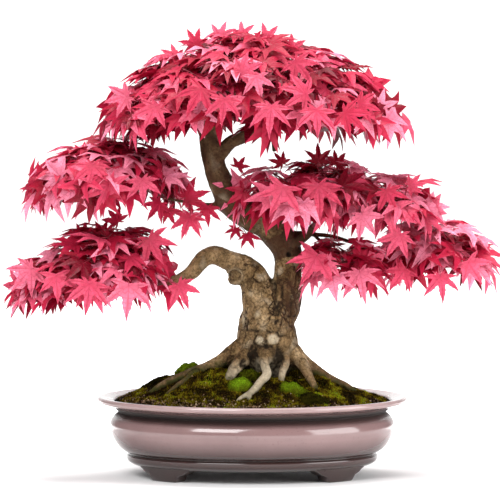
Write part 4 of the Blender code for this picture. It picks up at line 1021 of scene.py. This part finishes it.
def padSpots(pad, spacing, size):  # angles round and down of a pad's rosettes, ring by ring
    _, half, steepest, *_ = pads[pad]
    girth = (half[0] + half[1]) / 2 * size
    rings = max(2, round(radians(steepest) * (girth + half[2] * size) / 2 / (spacing * 0.9)))
    spots = []
    for ring in range(rings):
        lean = steepest * (ring + 0.7) / rings
        count = max(3, round(tau * girth * sin(radians(min(lean, 90))) / spacing))
        spots += [(360 * (step + dice.uniform(-0.3, 0.3) + 0.5 * (ring % 2)) / count,
                   lean + dice.uniform(-0.3, 0.3) * steepest / rings) for step in range(count)]
    return spots


def arching(start, bend, end, thick, thin, steps=5):  # a bent route that thins along its way
    made = []
    for step in range(steps + 1):
        t = step / steps
        point = start * (1 - t) ** 2 + bend * 2 * t * (1 - t) + end * t ** 2
        made.append((*point, thick + (thin - thick) * t))
    return made


def placeLeaf(name, masters, centre, forward, normal, reach, tone):
    forward = (forward - normal * forward.dot(normal)).normalized()
    turn = Matrix((forward.cross(normal), forward, normal)).transposed().to_4x4()
    leaf = linked("leaf", masters[dice.randrange(len(masters))].data.copy())
    leaf.data.transform(Matrix.Translation(at(*centre)) @ turn @ Matrix.Scale(reach * mm, 4))
    setFloats(leaf.data, "tone", [clamp(tone, 0, foliage["palest"])] * len(leaf.data.vertices))
    leafPieces[name].append(leaf)


def nearestTwig(names, place, shortest=0.0):
    return min(((root - place).length, name, index) for name in names
               for index, root in enumerate(twigEnds[name]) if (root - place).length >= shortest)


def placeFront(rows):  # leaves that show whole, each on a stalk from the nearest twig
    for pad, start, angle, reach, *tone in rows:
        start, angle = Vector(start), radians(angle)
        normal = Vector((dice.uniform(-0.25, 0.25), -1, dice.uniform(0.25, 0.6))).normalized()
        forward = Vector((sin(angle), 0, -cos(angle)))
        _, name, index = nearestTwig(pads[pad][6], start, 8)
        placeLeaf(name, frontMasters, start, forward, normal, reach,
                  tone[0] if tone else dice.uniform(*foliage["frontTone"]))
        bend = start - forward * 5 + Vector((0, -2, 2))
        stalkRoutes[name].append(arching(twigEnds[name][index], bend, start - normal * 0.3,
                                         *foliage["frontStalk"], 4))


def addTwig(name, route):
    twigRoutes[name].append(route)
    twigEnds[name] += [Vector(stop[:3]) for stop in route[2:]]


def twigTo(names, place, normal):  # a side twig from the nearest one to a rosette's place
    gap, name, index = nearestTwig(names, place)
    start = twigEnds[name][index]
    if gap > 3:
        sway = Vector((dice.uniform(-1, 1), dice.uniform(-1, 1), 0)) * gap * 0.08
        bend = start.lerp(place, 0.5) + normal * gap * 0.1 + sway
        addTwig(name, arching(start, bend, place, *foliage["twig"], 4))
    return name


def hidesFront(place):  # whether a leaf here would lie over one of the front leaves
    room = foliage["clearing"]
    return any(abs(place.x - x) < room and abs(place.z - z) < room and place.y < y + 9
               for _, (x, y, z), *_ in frontLeaves)


def rosette(pad, turn, lean, size, layerShadeTone):  # a fan of leaves on stalks from one knot
    _, half, steepest, _, _, _, names = pads[pad]
    point, normal, down = padPoint(pad, turn, min(lean, steepest), size)
    depth = dice.uniform(*foliage["nodeDepth"]) * (0.4 + 0.6 * cos(radians(lean)))
    knot = point - normal * depth * min(half[2] / 80, 1)
    name = twigTo(names, knot, normal)
    count = dice.choice((3, 4, 4))
    fan = 360 * (count - 1) / count if lean < 28 else 150
    for step in range(count):
        spin = radians((step / (count - 1) - 0.5) * fan + dice.uniform(-16, 16))
        front = Matrix.Rotation(spin, 3, normal) @ down
        rise = radians(dice.uniform(*foliage["stalkLift"]))
        base = knot + (front * cos(rise) + normal * sin(rise)) * dice.uniform(*foliage["stalk"])
        lift = foliage["lift"] + foliage["rimLift"] * (lean / 90) ** 4
        lift = radians(dice.gauss(lift, foliage["liftSpread"]))
        forward = front * cos(lift) + normal * sin(lift)
        up = normal * cos(lift) - front * sin(lift)
        up = Matrix.Rotation(radians(dice.gauss(0, foliage["roll"])), 3, forward) @ up
        up = up.lerp(Vector((0, 0, 1)), foliage["level"] * clamp((68 - lean) / 20)).normalized()
        reach = dice.uniform(*foliage["reach"])
        if not hidesFront(base + forward * reach * 0.3):
            # the layer's tone paints shade inside the pad, and the pad's tone paints light on pads that lie
            # in shade
            tone = layerShadeTone + foliage["padPaintedLight"][pad] + dice.gauss(0, foliage["toneSpread"])
            placeLeaf(name, masters, base, forward, up, reach, tone)
            bend = knot.lerp(base, 0.5) + normal * 1.5
            stalkRoutes[name].append(arching(knot, bend, base - up * 0.25, *foliage["stalkRadius"], 3))


dice = random.Random(21)
masters, frontMasters = makeLeaves("leaf", 9, 3, "coarse"), makeLeaves("front", 8, 4, "toothed")
twigRoutes, twigEnds, leafPieces, stalkRoutes = ({name: [] for name in sprays} for _ in range(4))
for name, (limb, hub, ends) in sprays.items():
    hub = Vector(hub)
    tip, before = Vector(woodRoutes[limb][-1][:3]), Vector(woodRoutes[limb][-2][:3])
    radius = woodRoutes[limb][-1][3]
    ahead = (tip - before).normalized()
    bend = tip + ahead * min(10, (hub - tip).length * 0.45)
    twigRoutes[name].append(arching(tip - ahead * 3, bend, hub, radius * 0.92, max(radius * 0.6, 2.0)))
    for pad, angles in ends.items():
        centre = Vector(pads[pad][0])
        for turn, lean in angles:
            end, bend = (centre.lerp(padPoint(pad, turn, angle)[0], foliage["shootDepth"])
                         for angle in (lean, lean * foliage["arch"]))
            addTwig(name, arching(hub, bend, end, *foliage["shoot"], 8))
twigEnds["leftMid"] += [Vector(stop[:3]) for stop in fineRoutes["leftMidLimb"][6:]]
placeFront(frontLeaves)
for pad, (_, _, _, spacing, *_) in pads.items():
    for size, layerShadeTone, density in foliage["layers"]:
        for turn, lean in padSpots(pad, spacing / sqrt(density), size):
            rosette(pad, turn, lean, size, layerShadeTone)
placeFront(crestLeaves)
leafPaint = leafMaterial()
stalkPaint = twigMaterial("redStalk", (0.16, 0.01, 0.02), (0.36, 0.025, 0.05), 0.5)
twigPaint = twigMaterial("darkTwig", (0.08, 0.01, 0.014), (0.17, 0.035, 0.04), 0.7)
nodeOf = {"crown": "crown_leaves", "upperRight": "upper_right_leaves", "leftMid": "left_mid_leaves",
          "leftLow": "left_low_leaves", "rightMid": "right_mid_leaves", "rightLow": "right_low_leaves",
          "centreLow": "centre_low_leaves"}
for name, node in nodeOf.items():
    leaves = finishPiece(joined(name + "Leaves", leafPieces[name]), leafPaint, "leaf", node)
    stalks = finishPiece(tubesFrom(name + "Stalks", stalkRoutes[name], 0), stalkPaint, "leaf", node)
    twigs = finishPiece(tubesFrom(name + "Twigs", twigRoutes[name], 1), twigPaint, "bark", node)
    for piece in (stalks, twigs):
        piece.data.shade_smooth()
    print(name, "leaves", len(leafPieces[name]), "faces", len(leaves.data.polygons))
for master in masters + frontMasters:
    bpy.data.objects.remove(master)

# Drain screens keep their solids and get black plastic
screenPaint, tree, shader = newMaterial("screenPlastic")
mottle = ramp(tree, noiseOn(tree, objectPlace(tree), 900, 2), ((0.4, 0.012), (0.7, 0.04)))
fill(tree, shader, {"Base Color": mottle, "Roughness": 0.55})
for node in ("drain_screen_left", "drain_screen_right"):
    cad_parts[node].data.materials.clear()
    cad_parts[node].data.materials.append(screenPaint)

# Floor, light and camera
stageSetup = {
    "cameraTarget": (-2.1, 0, 227.5), "cameraDistance": 8000.0, "cameraElevation": 5.0, "lens": 576.0,
    "floorSize": 7, "floorColour": (0.95, 0.95, 0.95), "wallHeight": 4, "sweep": 1.2,
    "worldStrength": 0.22, "background": (0.9, 0.9, 0.9),
    "lights": (((-780, -1750, 1500), 1200, 45, (0, 0, 230)),  # place, width, power, what it is aimed at
               ((1700, -1050, 600), 1500, 40, (0, 0, 230)),
               ((0, 100, 1900), 1300, 59, (0, 0, 230)), ((0, 600, 1500), 3000, 110, (0, 3600, 700))),
}


def aimed(name, data, place, target):  # a lamp or camera turned to its target
    piece = linked(name, data)
    piece.location = place
    piece.rotation_euler = (target - place).to_track_quat("-Z", "Y").to_euler()
    return piece


bpy.ops.mesh.primitive_plane_add(size=stageSetup["floorSize"], location=(0, 0.5, 0))
floor = editNew("studioFloor")
selectPoints(floor, lambda co: co.y > 3)
extrudeEdges((0, 0, stageSetup["wallHeight"]))
setMode("OBJECT")
modify(floor, "BEVEL", width=stageSetup["sweep"], segments=12)
floor.data.shade_smooth()
floorPaint, tree, shader = newMaterial("paleFloor")
fill(tree, shader, {"Base Color": stageSetup["floorColour"], "Roughness": 0.9, "Specular IOR Level": 0.1})
backs = addNode(tree, "NewGeometry").outputs["Backfacing"]  # the back is clear and hides nothing
fill(tree, tree.nodes["Material Output"],
     {"Surface": mixShader(tree, backs, shader, addNode(tree, "BsdfTransparent"))})
floor.data.materials.append(floorPaint)
world = bpy.data.worlds.new("studio")
bpy.context.scene.world = world
world.use_nodes = True
tree = world.node_tree
sky = tree.nodes["Background"]
fill(tree, sky, {"Color": (1, 1, 1), "Strength": stageSetup["worldStrength"]})
seen = addNode(tree, "Background", {"Color": stageSetup["background"]})  # what the camera sees past the floor
direct = addNode(tree, "LightPath").outputs["Is Camera Ray"]
fill(tree, tree.nodes["World Output"], {"Surface": mixShader(tree, direct, sky, seen)})
for index, (place, width, power, target) in enumerate(stageSetup["lights"]):
    light = bpy.data.lights.new(f"softbox{index + 1}", "AREA")
    light.size = width * mm
    light.energy = power
    aimed(light.name, light, at(*place), at(*target))
rise = radians(stageSetup["cameraElevation"])
cameraData = bpy.data.cameras.new("photoCamera")
cameraData.lens = stageSetup["lens"]
cameraData.sensor_width = 36
target = at(*stageSetup["cameraTarget"])
back = Vector((0, -cos(rise), sin(rise))) * stageSetup["cameraDistance"] * mm
bpy.context.scene.camera = aimed("photoCamera", cameraData, target + back, target)
bpy.context.scene.view_settings.view_transform = "Standard"
print("stage done")
